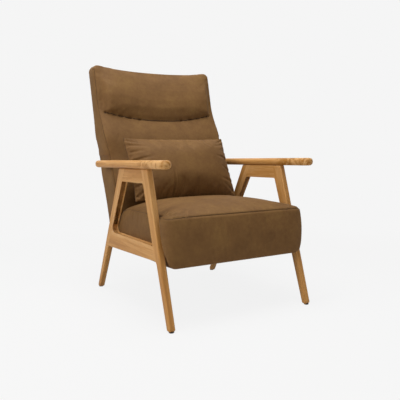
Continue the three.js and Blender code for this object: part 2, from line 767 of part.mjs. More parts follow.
function backBoltSolid(x, grow) {
  const start = seatFrame.rear - seatRailThickness - fitGap - grow;
  const end = backRearBottomReach - backFrameDepths[0] - backBoltCover + grow;
  const from = new THREE.Vector3(x, start, seatBoltHeight);
  return rodSolid(from, new THREE.Vector3(x, end, seatBoltHeight), boltDiameter + grow * 2);
}

function buildBack() {
  const group = new THREE.Group();
  const holes = backBoltXs.map((x) => backBoltSolid(x, fitGap)).reduce((a, b) => a.add(b));
  const rim = backPanelRim;
  const panelHeights = [backBottomHeight + rim, backHeight - backTopDip - backTopRound - rim];
  const panelReach = backHalfWidthLow - rim;
  const grown = ([low, high]) => [low - fitGap, high + fitGap];
  const opening = backBoard(grown([-panelReach, panelReach]), grown(panelHeights), [-rim, rim], panelSteps);
  const cover = backForm(0).subtract(backForm(coverThickness)).subtract(opening);
  addPiece(group, 'back_cover', cover.subtract(holes), 'leather');
  const panel = backBoard([-panelReach, panelReach], panelHeights, [fitGap, backPanelThickness], panelSteps);
  addPiece(group, 'back_outside_panel', panel, 'leather');
  const outside = -backHeight * half;
  const wide = [outside, -outside];
  const railSpace = [0, backFrameHeights[0] + backBottomRailDepth + foamGap];
  const webbingSide = [outside, backWebbingDepths[1] + foamGap];
  const railSide = [outside, backBottomRailDepths[1] + foamGap];
  const foam = backForm(coverThickness + foamGap)
    .subtract(backBoard(wide, [0, backHeight], webbingSide, clearanceSteps))
    .subtract(backBoard(wide, railSpace, railSide, clearanceSteps));
  addPiece(group, 'back_foam', foam.subtract(holes), 'foam');
  addBackFrame(group, holes);
  addBackWebbing(group);
  backBoltXs.forEach((x, i) => {
    const face = seatFrame.rear - seatRailThickness - fitGap;
    const back = new THREE.Vector3(x, face, seatBoltHeight);
    const front = new THREE.Vector3(x, face - boltHeadHeight, seatBoltHeight);
    const bolt = rodSolid(front, back, boltHeadDiameter).add(backBoltSolid(x, 0));
    addPiece(group, `back_bolt_${i + 1}`, bolt, 'steel');
  });
  chair.add(group);
}

// Bent laminated boards: two stiles with three rails between them
function addBackFrame(group, holes) {
  const [low, high] = backFrameHeights;
  const inner = backStileReach - backStileWidth;
  const across = [fitGap - inner, inner - fitGap];
  [-1, 1].forEach((s) => {
    const edges = [s * backStileReach, s * inner].sort((a, b) => a - b);
    const stile = backBoard(edges, [low, high], backFrameDepths, stileSteps);
    addPiece(group, `back_${s < 0 ? 'left' : 'right'}_stile`, stile, 'pine');
  });
  const middle = [backMiddleRailHeight, backMiddleRailHeight + backRailDepth];
  const bottom = backBoard(across, [low, low + backBottomRailDepth], backBottomRailDepths, railSteps);
  const top = [high - backRailDepth, high];
  addPiece(group, 'back_top_rail', backBoard(across, top, backFrameDepths, railSteps), 'pine');
  addPiece(group, 'back_middle_rail', backBoard(across, middle, backFrameDepths, railSteps), 'pine');
  addPiece(group, 'back_bottom_rail', bottom.subtract(holes), 'pine');
}

// Elastic straps stapled across the fronts of the stiles
function addBackWebbing(group) {
  const from = backFrameHeights[0] + backBottomRailDepth + webbingWidth;
  const to = backFrameHeights[1] - backRailDepth - webbingWidth * 2;
  const across = [-backStileReach, backStileReach];
  for (let i = 0; i < webbingCount; i += 1) {
    const z = blend(from, to, i / (webbingCount - 1));
    const strap = backBoard(across, [z, z + webbingWidth], backWebbingDepths, strapSteps);
    addPiece(group, `back_webbing_${i + 1}`, strap, 'webbing');
  }
}

const plumpness = (share) => Math.max(0, 1 - Math.abs(share) ** plumpPower) ** plumpRoundness;

// The loose cushion: two panels sewn together at a thin edge, with drawn-in sides and pointed corners
function cushionForm() {
  const placeShares = [0, 0.35, 0.62, 0.82, 0.94, 1];
  const across = [...placeShares.slice(1).reverse().map((u) => -u), ...placeShares];
  const rings = across.map((u) => {
    const height = cushionHalfHeight - cushionDraw * (1 - u ** drawPower);
    const fat = plumpness(u);
    const point = (v, face) => {
      const depth = blend(cushionEdge, cushionThickness, plumpness(v) * fat) * half;
      const x = u * (cushionHalfLength - cushionDraw * (1 - v ** drawPower));
      return { x, y: face * depth, z: v * height };
    };
    const front = across.map((v) => point(v, -1));
    const rear = across.slice().reverse().map((v) => point(v, 1));
    return [...front, ...rear].reverse();
  });
  return loft(rings, true);
}

function buildCushion() {
  const group = new THREE.Group();
  addPiece(group, 'lumbar_cushion', cushionForm(), 'leather');
  group.rotation.x = -cushionLean * degree;
  group.position.set(0, backFrontEdge(cushionCentreHeight) - cushionFromBack, cushionCentreHeight);
  chair.add(group);
}

buildSideFrame(-1);
buildSideFrame(1);
buildSeat();
buildBack();
buildCushion();

// The origin is under the middle of the whole chair
const bounds = new THREE.Box3().setFromObject(chair);
chair.position.y = -(bounds.min.y + bounds.max.y) * half;

export default chair;
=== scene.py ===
import math

import bmesh
import bpy
import numpy as np
from mathutils import Matrix, Vector
from mathutils.bvhtree import BVHTree
from mathutils.geometry import tessellate_polygon
from mathutils.kdtree import KDTree


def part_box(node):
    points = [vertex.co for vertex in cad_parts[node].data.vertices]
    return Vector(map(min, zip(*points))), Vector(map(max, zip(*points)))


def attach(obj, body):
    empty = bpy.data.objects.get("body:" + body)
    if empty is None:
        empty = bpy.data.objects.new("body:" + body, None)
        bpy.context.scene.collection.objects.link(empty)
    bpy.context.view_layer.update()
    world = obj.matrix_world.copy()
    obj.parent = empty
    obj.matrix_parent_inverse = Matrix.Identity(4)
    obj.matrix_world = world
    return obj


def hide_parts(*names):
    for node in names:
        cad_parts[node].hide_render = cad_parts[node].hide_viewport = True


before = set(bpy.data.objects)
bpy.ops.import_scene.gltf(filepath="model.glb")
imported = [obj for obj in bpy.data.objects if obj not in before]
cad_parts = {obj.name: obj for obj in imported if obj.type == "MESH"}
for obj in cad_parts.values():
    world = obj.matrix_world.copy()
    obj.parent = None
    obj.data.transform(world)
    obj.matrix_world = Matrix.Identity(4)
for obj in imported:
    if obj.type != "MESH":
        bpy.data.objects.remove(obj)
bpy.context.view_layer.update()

# The shot: a studio product photograph taken from the sitter's right front, at armrest height, with a
# normal lens. The picture is 400 pixels wide and the focal length is held in those pixels.
PICTURE_PIXELS = 400
FOCAL_PIXELS = 493.6
SENSOR_MM = 36
CAMERA_PLACE = Vector((-1.02836, -1.87578, 0.59333))
CAMERA_YAW = math.radians(30.076)
CAMERA_PITCH = math.radians(-5.018)
CAMERA_ROLL = math.radians(-0.783)


def place_object(name, data):
    """Puts a camera, a lamp or a mesh into the scene."""
    thing = bpy.data.objects.new(name, data)
    bpy.context.collection.objects.link(thing)
    return thing


camera_data = bpy.data.cameras.new("camera")
camera_data.sensor_width = SENSOR_MM
camera_data.lens = SENSOR_MM * FOCAL_PIXELS / PICTURE_PIXELS
camera = place_object("camera", camera_data)
camera.matrix_world = (
    Matrix.Translation(CAMERA_PLACE)
    @ Matrix.Rotation(-CAMERA_YAW, 4, "Z")
    @ Matrix.Rotation(math.pi / 2 + CAMERA_PITCH, 4, "X")
    @ Matrix.Rotation(CAMERA_ROLL, 4, "Z")
)
bpy.context.scene.camera = camera
bpy.context.scene.view_settings.view_transform = "Standard"

# The studio: a pale seamless floor and backdrop of one tone. The camera sees that tone nearly as it is. Round
# the chair the floor has a share of its lit paint in it, which takes the soft shadow and fades out.


def srgb(code):
    """A linear colour from an sRGB hex code."""
    shares = [int(code[i:i + 2], 16) / 255 for i in (1, 3, 5)]
    return [s / 12.92 if s <= 0.04045 else ((s + 0.055) / 1.055) ** 2.4 for s in shares] + [1]


def put(tree, kind, inputs=None, **settings):
    """Adds a node with its settings; an input takes a value or another node's socket."""
    node = tree.nodes.new(kind)
    for name, value in settings.items():
        setattr(node, name, value)
    for name, value in (inputs or {}).items():
        if isinstance(value, bpy.types.NodeSocket):
            tree.links.new(value, node.inputs[name])
        else:
            node.inputs[name].default_value = value
    return node


def blank_material(name):
    """A material with no nodes yet."""
    material = bpy.data.materials.new(name)
    material.use_nodes = True
    material.node_tree.nodes.clear()
    return material


def set_stops(ramp, stops):
    """Gives a colour ramp its stops in order, each a place and an sRGB hex code."""
    elements = ramp.color_ramp.elements
    for place, _ in stops[1:-1]:
        elements.new(place)
    for element, (place, code) in zip(elements, stops):
        element.position = place
        element.color = srgb(code)


def mesh_from(shape, name):
    """The mesh of a shape, which is freed."""
    mesh = bpy.data.meshes.new(name)
    shape.to_mesh(mesh)
    shape.free()
    return mesh


def add_piece(name, mesh, material):
    """Stands a mesh in the scene at the origin, in one material."""
    mesh.materials.clear()
    mesh.materials.append(material)
    return place_object(name, mesh)


BACKDROP = srgb("#F5F5F5")
FLOOR_PAINT = srgb("#D6D2CB")
FLOOR_PAINT_SEEN = srgb("#FFFFFF")
FLOOR_SHADOW_SHARE = 0.06
SHADOW_FADE = (0.9, 2.3)
FLOOR_RADIUS = 9
SKY_LIGHT = srgb("#F4F1EC")
SKY_STRENGTH = 0.25


def backdrop_rays(tree):
    """1 for a ray that shows the backdrop itself: the camera's, or a mirrored or refracted one."""
    ray = put(tree, "ShaderNodeLightPath")
    shown = ray.outputs["Is Camera Ray"]
    for other in ("Is Glossy Ray", "Is Transmission Ray"):
        shown = put(tree, "ShaderNodeMath", {0: shown, 1: ray.outputs[other]}, operation="MAXIMUM").outputs[0]
    return shown


floor_material = blank_material("painted studio floor")
floor_tree = floor_material.node_tree
shows_backdrop = backdrop_rays(floor_tree)
paint = put(
    floor_tree, "ShaderNodeMix", {"Factor": shows_backdrop, 6: FLOOR_PAINT, 7: FLOOR_PAINT_SEEN},
    data_type="RGBA",
)
painted = put(floor_tree, "ShaderNodeBsdfDiffuse", {"Color": paint.outputs[2]})
seen = put(floor_tree, "ShaderNodeEmission", {"Color": BACKDROP, "Strength": 1})
floor_place = put(floor_tree, "ShaderNodeTexCoord").outputs["Object"]
from_chair = put(floor_tree, "ShaderNodeVectorMath", {0: floor_place}, operation="LENGTH")
plain_share = put(floor_tree, "ShaderNodeMapRange", {
    "Value": from_chair.outputs["Value"], "From Min": SHADOW_FADE[0], "From Max": SHADOW_FADE[1],
    "To Min": 1 - FLOOR_SHADOW_SHARE, "To Max": 1,
}, interpolation_type="SMOOTHSTEP")
seen_share = put(
    floor_tree, "ShaderNodeMath", {0: shows_backdrop, 1: plain_share.outputs[0]}, operation="MULTIPLY",
)
floor_mix = put(
    floor_tree, "ShaderNodeMixShader", {0: seen_share.outputs[0], 1: painted.outputs[0], 2: seen.outputs[0]},
)
put(floor_tree, "ShaderNodeOutputMaterial", {"Surface": floor_mix.outputs[0]})

floor_shape = bmesh.new()
bmesh.ops.create_circle(floor_shape, cap_ends=True, segments=96, radius=FLOOR_RADIUS)
add_piece("studio_floor", mesh_from(floor_shape, "studio_floor"), floor_material)

world = bpy.data.worlds.new("studio")
bpy.context.scene.world = world
world.use_nodes = True
world.node_tree.nodes.clear()
world_seen = put(world.node_tree, "ShaderNodeBackground", {"Color": BACKDROP, "Strength": 1})
world_light = put(world.node_tree, "ShaderNodeBackground", {"Color": SKY_LIGHT, "Strength": SKY_STRENGTH})
world_mix = put(
    world.node_tree, "ShaderNodeMixShader",
    {0: backdrop_rays(world.node_tree), 1: world_light.outputs[0], 2: world_seen.outputs[0]},
)
put(world.node_tree, "ShaderNodeOutputWorld", {"Surface": world_mix.outputs[0]})


def add_softbox(name, place, target, size, watts):
    """A square lamp that faces a point."""
    data = bpy.data.lights.new(name, "AREA")
    data.size = size
    data.energy = watts
    aim = Vector(target) - Vector(place)
    turned = aim.to_track_quat("-Z", "Y").to_matrix().to_4x4()
    place_object(name, data).matrix_world = Matrix.Translation(place) @ turned


# Three lamps: a broad one overhead, one from the left along the armrests, and a weak fill in front.
LAMPS_AIM = (0, 0, 0.5)
add_softbox("overhead softbox", (-0.4, -0.3, 3.2), LAMPS_AIM, size=2.0, watts=86)
add_softbox("left softbox", (-4.1, -0.6, 1.6), LAMPS_AIM, size=2.0, watts=71)
add_softbox("front fill", (-0.7, -3.6, 1.1), LAMPS_AIM, size=2.2, watts=15)


# The leather: full-grain aniline hide, buffed on its face to a matt nubuck and dyed tan. The nap scatters
# light softly, the dye takes unevenly in hand-sized clouds, and raised edges rub paler. The grain is drawn
# at 2.6 mm, coarser than the real one, so that it shows.
HIDE = "#6D4D28"
HIDE_DARK = "#604220"
HIDE_RUBBED = "#79592F"
HIDE_NAP = "#C09A66"
GRAIN_MM = 2.6
CLOUD_MM = 95
FLECK_MM = 14
WRINKLE_MM = 22


def nubuck(name, cloud_seed, dark=HIDE_DARK, middle_tone=HIDE, rubbed_tone=HIDE_RUBBED):
    """The hide in three tones; the seed moves the clouds of its dye."""
    material = blank_material(name)
    tree = material.node_tree
    place = put(tree, "ShaderNodeTexCoord").outputs["Object"]
    clouds = put(
        tree, "ShaderNodeTexNoise",
        {"Vector": place, "W": cloud_seed, "Scale": 1000 / CLOUD_MM, "Detail": 5, "Roughness": 0.6},
        noise_dimensions="4D",
    )
    flecks = put(
        tree, "ShaderNodeTexNoise",
        {"Vector": place, "Scale": 1000 / FLECK_MM, "Detail": 4, "Roughness": 0.7},
    )
    mottle = put(tree, "ShaderNodeMix", {0: 0.34, 2: clouds.outputs["Fac"], 3: flecks.outputs["Fac"]})
    dye = put(tree, "ShaderNodeValToRGB", {"Fac": mottle.outputs[0]})
    set_stops(dye, [(0.34, dark), (0.5, middle_tone), (0.66, rubbed_tone)])
    edge = put(tree, "ShaderNodeNewGeometry")
    rubbed = put(
        tree, "ShaderNodeMapRange",
        {"Value": edge.outputs["Pointiness"], "From Min": 0.52, "From Max": 0.6, "To Min": 0, "To Max": 0.45},
    )
    colour = put(
        tree, "ShaderNodeMix",
        {"Factor": rubbed.outputs[0], 6: dye.outputs[0], 7: srgb(rubbed_tone)}, data_type="RGBA",
    )
    pebbles = put(tree, "ShaderNodeTexVoronoi", {"Vector": place, "Scale": 1000 / GRAIN_MM}, feature="F1")
    wrinkles = put(
        tree, "ShaderNodeTexNoise",
        {"Vector": place, "Scale": 1000 / WRINKLE_MM, "Detail": 6, "Roughness": 0.66},
    )
    relief = put(tree, "ShaderNodeMix", {0: 0.72, 2: pebbles.outputs["Distance"], 3: wrinkles.outputs["Fac"]})
    bump = put(tree, "ShaderNodeBump", {"Height": relief.outputs[0], "Strength": 0.42, "Distance": 0.0016})
    shader = put(tree, "ShaderNodeBsdfPrincipled", {
        "Base Color": colour.outputs[2], "Roughness": 0.74, "IOR": 1.45, "Specular IOR Level": 0.3,
        "Normal": bump.outputs[0], "Sheen Weight": 0.07, "Sheen Roughness": 0.5,
        "Sheen Tint": srgb(HIDE_NAP),
    })
    put(tree, "ShaderNodeOutputMaterial", {"Surface": shader.outputs[0]})
    return material


hide = nubuck("tan nubuck leather", 3)


# The side frames: two flat A shapes of solid light oak, each a front leg, a rear leg, an arm rail and a side
# rail, mortised, glued and sanded flush, so that the joints show only as a turn of the grain. Every edge is
# routed to a soft round before the oak is oiled.
FRAME_THICKNESS = 0.0245
FRAME_CENTRE = 0.30145
FRAME_TOP = 0.5527
FRAME_BOTTOM = 0.0033
WOOD_EDGE = 0.0052
FOOT_CORNER = 0.0075
FRONT_LEG = ((-0.374, -0.350), (-0.2115, -0.164))
REAR_LEG = ((0.349, 0.373), (0.0, 0.0585))
WINDOW_TOP = 0.5047
WINDOW_ROUNDS = (0.014, 0.026, 0.007)
UNDER_RAIL_ROUND = 0.018
SIDE_RAIL_TOP = 0.276
SIDE_RAIL_UNDER_FRONT = 0.228
SIDE_RAIL_UNDER_REAR = 0.212
SIDE_RAIL_GRAIN_TURN = 0.02
JOINT_LINE = 0.0002
MIDDLE_Y = float(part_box("seat_cover")[0][1]) + 0.347


def leg_line(leg, edge):
    """The y of a leg's front (0) or rear (1) edge at a height."""
    foot, top = leg[0][edge], leg[1][edge]
    return lambda z: foot + (top - foot) * z / FRAME_TOP


front_leg_front = leg_line(FRONT_LEG, 0)
front_leg_rear = leg_line(FRONT_LEG, 1)
rear_leg_front = leg_line(REAR_LEG, 0)
rear_leg_rear = leg_line(REAR_LEG, 1)


def rounded_outline(corners, steps=9):
    """Points round a closed outline whose corners (a, b, radius) are true arcs."""
    points = []
    for i, (a, b, radius) in enumerate(corners):
        corner = Vector((a, b))
        if radius == 0:
            points.append(corner)
            continue
        before = (Vector(corners[i - 1][:2]) - corner).normalized()
        after = (Vector(corners[(i + 1) % len(corners)][:2]) - corner).normalized()
        half_angle = before.angle(after) / 2
        centre = corner + (before + after).normalized() * radius / math.sin(half_angle)
        start = corner + before * radius / math.tan(half_angle) - centre
        end = corner + after * radius / math.tan(half_angle) - centre
        turn = start.angle_signed(end)
        for step in range(steps + 1):
            spoke = start.copy()
            spoke.rotate(Matrix.Rotation(-turn * step / steps, 2))
            points.append(centre + spoke)
    return points


def inset(points, distance):
    """Moves a counter-clockwise outline inwards, mitred at its corners."""
    moved = []
    for i, point in enumerate(points):
        arriving = (point - points[i - 1]).normalized()
        leaving = (points[(i + 1) % len(points)] - point).normalized()
        along = (arriving + leaving).normalized()
        mitre = distance / max(along.dot(leaving), 0.5)
        moved.append(point + Vector((-along.y, along.x)) * mitre)
    return moved


def rounded_slab(outlines, thickness, edge, steps, place):
    """A slab with rolled edges; the first outline is its rim, a further one a window that runs clockwise."""
    slab = bmesh.new()
    levels = []
    for step in range(steps + 1):
        angle = math.pi / 2 * step / steps
        levels.append((edge * (1 - math.cos(angle)), thickness / 2 - edge + edge * math.sin(angle)))
    rows = [(distance, -height) for distance, height in reversed(levels)] + levels
    caps = [[], []]
    for outline in outlines:
        rings = []
        for distance, height in rows:
            rings.append([slab.verts.new(place(p.x, p.y, height)) for p in inset(outline, distance)])
        for low, high in zip(rings, rings[1:]):
            for i in range(len(low)):
                j = (i + 1) % len(low)
                slab.faces.new((low[i], low[j], high[j], high[i]))
        caps[0] += rings[0]
        caps[1] += rings[-1]
    flat = [[(p.x, p.y, 0) for p in inset(outline, edge)] for outline in outlines]
    for triangle in tessellate_polygon(flat):
        slab.faces.new([caps[0][i] for i in triangle])
        slab.faces.new([caps[1][i] for i in triangle])
    bmesh.ops.recalc_face_normals(slab, faces=slab.faces)
    return slab


def evaluated_mesh(piece):
    """What an object's modifiers make of it, as a mesh."""
    return bpy.data.meshes.new_from_object(piece.evaluated_get(bpy.context.evaluated_depsgraph_get()))


def finished_mesh(shape, name, sharp=40):
    """A plain mesh of a shape, smooth over its rounds and crisp at its corners."""
    mesh = mesh_from(shape, name)
    mesh.shade_smooth()
    mesh.set_sharp_from_angle(angle=math.radians(sharp))
    piece = place_object(name, mesh)
    weighted = piece.modifiers.new("face weights", "WEIGHTED_NORMAL")
    weighted.keep_sharp = True
    ready = evaluated_mesh(piece)
    bpy.data.objects.remove(piece)
    bpy.data.meshes.remove(mesh)
    ready.name = name
    return ready


# Oak: straight-grained with low arches of growth rings and short dark pores along the grain. The oil gives
# it a satin face. The rings are drawn 9 mm apart and the pores 1.1 mm wide, coarser than real ones, to show.
OAK = "#B9864A"
OAK_PALE = "#CDA069"
OAK_DARK = "#9D6B35"
OAK_PORE = "#7A4F24"
OAK_FIGURE = "#95621E"
RING_MM = 9
WAVE_MM = 34
PORE_MM = 1.1
FIGURE_MM = 38
FIGURE_REACH = 0.24


def oak(name, turn, seed, figured_at=None):
    """Oak whose grain runs along the Y axis turned about X by an angle, with swirled figure round a place."""
    material = blank_material(name)
    tree = material.node_tree
    place = put(tree, "ShaderNodeTexCoord").outputs["Object"]
    along = put(
        tree, "ShaderNodeMapping", {"Vector": place, "Rotation": (-turn, 0, 0), "Location": (seed, seed, 0)},
    )
    stretched = put(tree, "ShaderNodeMapping", {"Vector": along.outputs[0], "Scale": (1, 0.045, 1)})
    wavy = put(
        tree, "ShaderNodeTexNoise",
        {"Vector": stretched.outputs[0], "Scale": 1000 / WAVE_MM, "Detail": 3, "Roughness": 0.5},
    )
    rings = put(
        tree, "ShaderNodeTexNoise",
        {"Vector": stretched.outputs[0], "Scale": 1000 / RING_MM, "Detail": 3, "Distortion": 1.2},
    )
    tone = put(tree, "ShaderNodeMix", {0: 0.36, 2: wavy.outputs["Fac"], 3: rings.outputs["Fac"]})
    ramp = put(tree, "ShaderNodeValToRGB", {"Fac": tone.outputs[0]})
    set_stops(ramp, [(0.35, OAK_DARK), (0.5, OAK), (0.65, OAK_PALE)])
    face = ramp.outputs[0]
    if figured_at is not None:
        swirl = put(
            tree, "ShaderNodeTexNoise",
            {"Vector": place, "Scale": 1000 / FIGURE_MM, "Detail": 4, "Roughness": 0.55, "Distortion": 1.6},
        )
        figure = put(tree, "ShaderNodeValToRGB", {"Fac": swirl.outputs["Fac"]})
        set_stops(figure, [(0.4, OAK_FIGURE), (0.58, OAK_PALE)])
        offset = put(tree, "ShaderNodeVectorMath", {0: place, 1: figured_at}, operation="DISTANCE")
        near = put(tree, "ShaderNodeMapRange", {
            "Value": offset.outputs["Value"], "From Min": FIGURE_REACH * 0.45, "From Max": FIGURE_REACH,
            "To Min": 0.85, "To Max": 0,
        }, interpolation_type="SMOOTHSTEP")
        face = put(
            tree, "ShaderNodeMix", {"Factor": near.outputs[0], 6: ramp.outputs[0], 7: figure.outputs[0]},
            data_type="RGBA",
        ).outputs[2]
    drawn = put(tree, "ShaderNodeMapping", {"Vector": along.outputs[0], "Scale": (1, 0.035, 1)})
    pores = put(
        tree, "ShaderNodeTexNoise",
        {"Vector": drawn.outputs[0], "Scale": 1000 / PORE_MM, "Detail": 2, "Roughness": 0.5},
    )
    pore = put(
        tree, "ShaderNodeMapRange",
        {"Value": pores.outputs["Fac"], "From Min": 0.6, "From Max": 0.72, "To Min": 0, "To Max": 0.55},
    )
    colour = put(
        tree, "ShaderNodeMix", {"Factor": pore.outputs[0], 6: face, 7: srgb(OAK_PORE)}, data_type="RGBA",
    )
    bump = put(
        tree, "ShaderNodeBump", {"Height": pore.outputs[0], "Strength": 0.25, "Distance": 0.0004},
        invert=True,
    )
    shader = put(tree, "ShaderNodeBsdfPrincipled", {
        "Base Color": colour.outputs[2], "Roughness": 0.5, "IOR": 1.42, "Specular IOR Level": 0.28,
        "Normal": bump.outputs[0],
    })
    put(tree, "ShaderNodeOutputMaterial", {"Surface": shader.outputs[0]})
    return material


frame_rim = rounded_outline([
    (front_leg_front(FRAME_BOTTOM), FRAME_BOTTOM, FOOT_CORNER),
    (front_leg_rear(FRAME_BOTTOM), FRAME_BOTTOM, FOOT_CORNER),
    (front_leg_rear(SIDE_RAIL_UNDER_FRONT), SIDE_RAIL_UNDER_FRONT, UNDER_RAIL_ROUND),
    (rear_leg_front(SIDE_RAIL_UNDER_REAR), SIDE_RAIL_UNDER_REAR, UNDER_RAIL_ROUND),
    (rear_leg_front(FRAME_BOTTOM), FRAME_BOTTOM, FOOT_CORNER),
    (rear_leg_rear(FRAME_BOTTOM), FRAME_BOTTOM, FOOT_CORNER),
    (rear_leg_rear(FRAME_TOP), FRAME_TOP, 0),
    (front_leg_front(FRAME_TOP), FRAME_TOP, 0),
])
frame_window = rounded_outline([
    (front_leg_rear(WINDOW_TOP), WINDOW_TOP, WINDOW_ROUNDS[0]),
    (rear_leg_front(WINDOW_TOP), WINDOW_TOP, WINDOW_ROUNDS[0]),
    (rear_leg_front(SIDE_RAIL_TOP), SIDE_RAIL_TOP, WINDOW_ROUNDS[1]),
    (front_leg_rear(SIDE_RAIL_TOP), SIDE_RAIL_TOP, WINDOW_ROUNDS[2]),
])
FRONT_LEAN = math.atan2(FRONT_LEG[1][0] - FRONT_LEG[0][0], FRAME_TOP)
REAR_LEAN = math.atan2(REAR_LEG[0][1] - REAR_LEG[1][1], FRAME_TOP)
front_cut = (Vector((0, front_leg_rear(0) + MIDDLE_Y + JOINT_LINE, 0)), FRONT_LEG[1][1] - FRONT_LEG[0][1])
rear_cut = (Vector((0, rear_leg_front(0) + MIDDLE_Y - JOINT_LINE, 0)), REAR_LEG[1][0] - REAR_LEG[0][0])
middle_height = (WINDOW_TOP + SIDE_RAIL_TOP) / 2


def part_member(shape, cuts):
    """Keeps what lies on the far side of each cut and closes the sawn ends."""
    for place, normal in cuts:
        everything = shape.verts[:] + shape.edges[:] + shape.faces[:]
        cut = bmesh.ops.bisect_plane(
            shape, geom=everything, dist=1e-6, plane_co=place, plane_no=normal, clear_inner=True,
        )
        edges = [e for e in cut["geom_cut"] if isinstance(e, bmesh.types.BMEdge)]
        bmesh.ops.holes_fill(shape, edges=edges, sides=0)
    bmesh.ops.recalc_face_normals(shape, faces=shape.faces)


def facing(cut, sign):
    """The direction across a joint line, in the side view."""
    return (cut[0], Vector((0, FRAME_TOP, -cut[1])) * sign)


level = Vector((0, 0, middle_height))
members = {
    "front_leg": ([facing(front_cut, -1)], math.pi / 2 - FRONT_LEAN),
    "rear_leg": ([facing(rear_cut, 1)], math.pi / 2 + REAR_LEAN),
    "top_rail": ([facing(front_cut, 1), facing(rear_cut, -1), (level, Vector((0, 0, 1)))], 0),
    "side_rail": (
        [facing(front_cut, 1), facing(rear_cut, -1), (level, Vector((0, 0, -1)))],
        SIDE_RAIL_GRAIN_TURN,
    ),
}
for side, sign in (("left", -1), ("right", 1)):
    for number, (member, (cuts, turn)) in enumerate(members.items()):
        slab = rounded_slab(
            [frame_rim, frame_window[::-1]], FRAME_THICKNESS, WOOD_EDGE, 5,
            lambda y, z, x: (sign * FRAME_CENTRE + x, y + MIDDLE_Y, z),
        )
        part_member(slab, cuts)
        mesh = finished_mesh(slab, f"{side}_{member}_oak")
        wood = oak(f"{side} {member} oiled oak", turn, 3.1 * number + 1.7 * sign)
        piece = add_piece(f"{side}_{member}_oak", mesh, wood)
        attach(piece, "chair")
        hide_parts(f"{side}_{member}")

# The armrests: one oak board each, round in plan at both ends and nearly bullnosed all round, doweled down
# onto the leg tops and standing out past the frame on the outside.
ARM_THICKNESS = 0.030
ARM_TOP = 0.583
ARM_INNER = 0.2852
ARM_OUTER = 0.3372
ARM_FRONT = -0.372
ARM_REAR = 0.300
ARM_END_ROUND = 0.0255
ARM_EDGE = 0.0132
ARM_GRAIN_TURN = 0.012

for side, sign in (("left", -1), ("right", 1)):
    near, far = sorted((sign * ARM_INNER, sign * ARM_OUTER))
    plan = rounded_outline([
        (near, ARM_FRONT + MIDDLE_Y, ARM_END_ROUND), (far, ARM_FRONT + MIDDLE_Y, ARM_END_ROUND),
        (far, ARM_REAR + MIDDLE_Y, ARM_END_ROUND), (near, ARM_REAR + MIDDLE_Y, ARM_END_ROUND),
    ], steps=14)
    board = rounded_slab(
        [plan], ARM_THICKNESS, ARM_EDGE, 8, lambda x, y, z: (x, y, z + ARM_TOP - ARM_THICKNESS / 2),
    )
    mesh = finished_mesh(board, f"{side}_armrest_oak")
    front_end = ((near + far) / 2, ARM_FRONT + MIDDLE_Y, ARM_TOP)
    wood = oak(f"{side} armrest oiled oak", ARM_GRAIN_TURN, 7.7 + sign * 2.3, front_end)
    piece = add_piece(f"{side}_armrest_oak", mesh, wood)
    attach(piece, "chair")
    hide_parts(f"{side}_armrest")


# The seat: a sprung and foamed pad upholstered in one hide, with a crowned top panel and a band that runs
# round the front and sides, joined by a plain turned seam. It slopes down at the rear under the back.
SEAT_HALF_WIDTH = 0.280
SEAT_SIDE_BULGE = 0.0089
SEAT_FRONT = -0.338
SEAT_FRONT_BULGE = 0.009
SEAT_REAR = 0.193
SEAT_BOTTOM = 0.2065
SEAT_SEAM = 0.387
SEAT_CROWN = 0.037
SEAT_CROWN_FALL = (3.6, 5.5)
SEAT_CORNER = 0.036
SEAT_SLOPE_START = 0.030
SEAT_REAR_LIP = 0.283
SEAT_LOWER_ROUND = 0.017
SEAT_LOW_FRONT_SHARE = 0.6
SEAT_BULGE_HEIGHT_SHARE = 0.55
SEAT_SWELL = 0.034
SEAT_SWELL_TAPER = (0.28, 0.1)
SEAT_SWELL_GAP = 0.006
SEAT_SWELL_DEPTH = 0.024
SEAT_SIDE_UNDER = 0.007
DUST_COVER_TOP = 0.21135


def curve_near(places, values, blur):
    """A smooth curve close to a row of points, as a function of place."""
    count = 600
    grid = np.linspace(places[0], places[-1], count)
    row = np.interp(grid, places, values)
    reach = max(2, int(blur * count / (places[-1] - places[0])))
    window = np.hanning(2 * reach + 3)[1:-1]
    padded = np.pad(row, reach, mode="reflect", reflect_type="odd")
    soft = np.convolve(padded, window / window.sum(), mode="valid")
    return lambda place: float(np.interp(place, grid, soft))


def turned_corner(u, half_width, radius):
    """How far a rounded outline has turned in at a share of its half width."""
    into = min(1.0, max(0.0, (abs(u) - 1) * half_width + radius) / radius)
    return radius * (1 - math.sqrt(1 - into * into))


seat_crown_share = curve_near(
    [0, 0.03, 0.08, 0.18, 0.32, 0.5, 0.68, 0.86, 1], [0, 0.28, 0.55, 0.8, 0.95, 1, 1, 0.97, 0.9], 0.03,
)


def smooth_step(value, low, high):
    """0 up to the low value, 1 from the high one, and a soft rise between."""
    share = min(1.0, max(0.0, (value - low) / (high - low)))
    return share * share * (3 - 2 * share)


def seat_front_bulge(height_share):
    """How far the front band stands out at a share of its height."""
    away = (height_share - SEAT_BULGE_HEIGHT_SHARE) / (1 - SEAT_BULGE_HEIGHT_SHARE)
    if away < 0:
        away *= (1 - SEAT_BULGE_HEIGHT_SHARE) / SEAT_BULGE_HEIGHT_SHARE * math.sqrt(1 - SEAT_LOW_FRONT_SHARE)
    return SEAT_FRONT_BULGE * (1 - away * away)


def seat_swell(y, z):
    """How far the seat swells sideways where it stands free in front of the legs."""
    past = front_leg_front(z) + MIDDLE_Y - SEAT_SWELL_GAP - y
    height = (z - SEAT_BOTTOM) / (SEAT_SEAM - SEAT_BOTTOM)
    high_share, low_share = SEAT_SWELL_TAPER
    taper = 1 - (high_share if height > 0.5 else low_share) * min(1.0, abs(2 * height - 1)) ** 2.6
    return SEAT_SWELL * smooth_step(past, 0, SEAT_SWELL_DEPTH) * taper


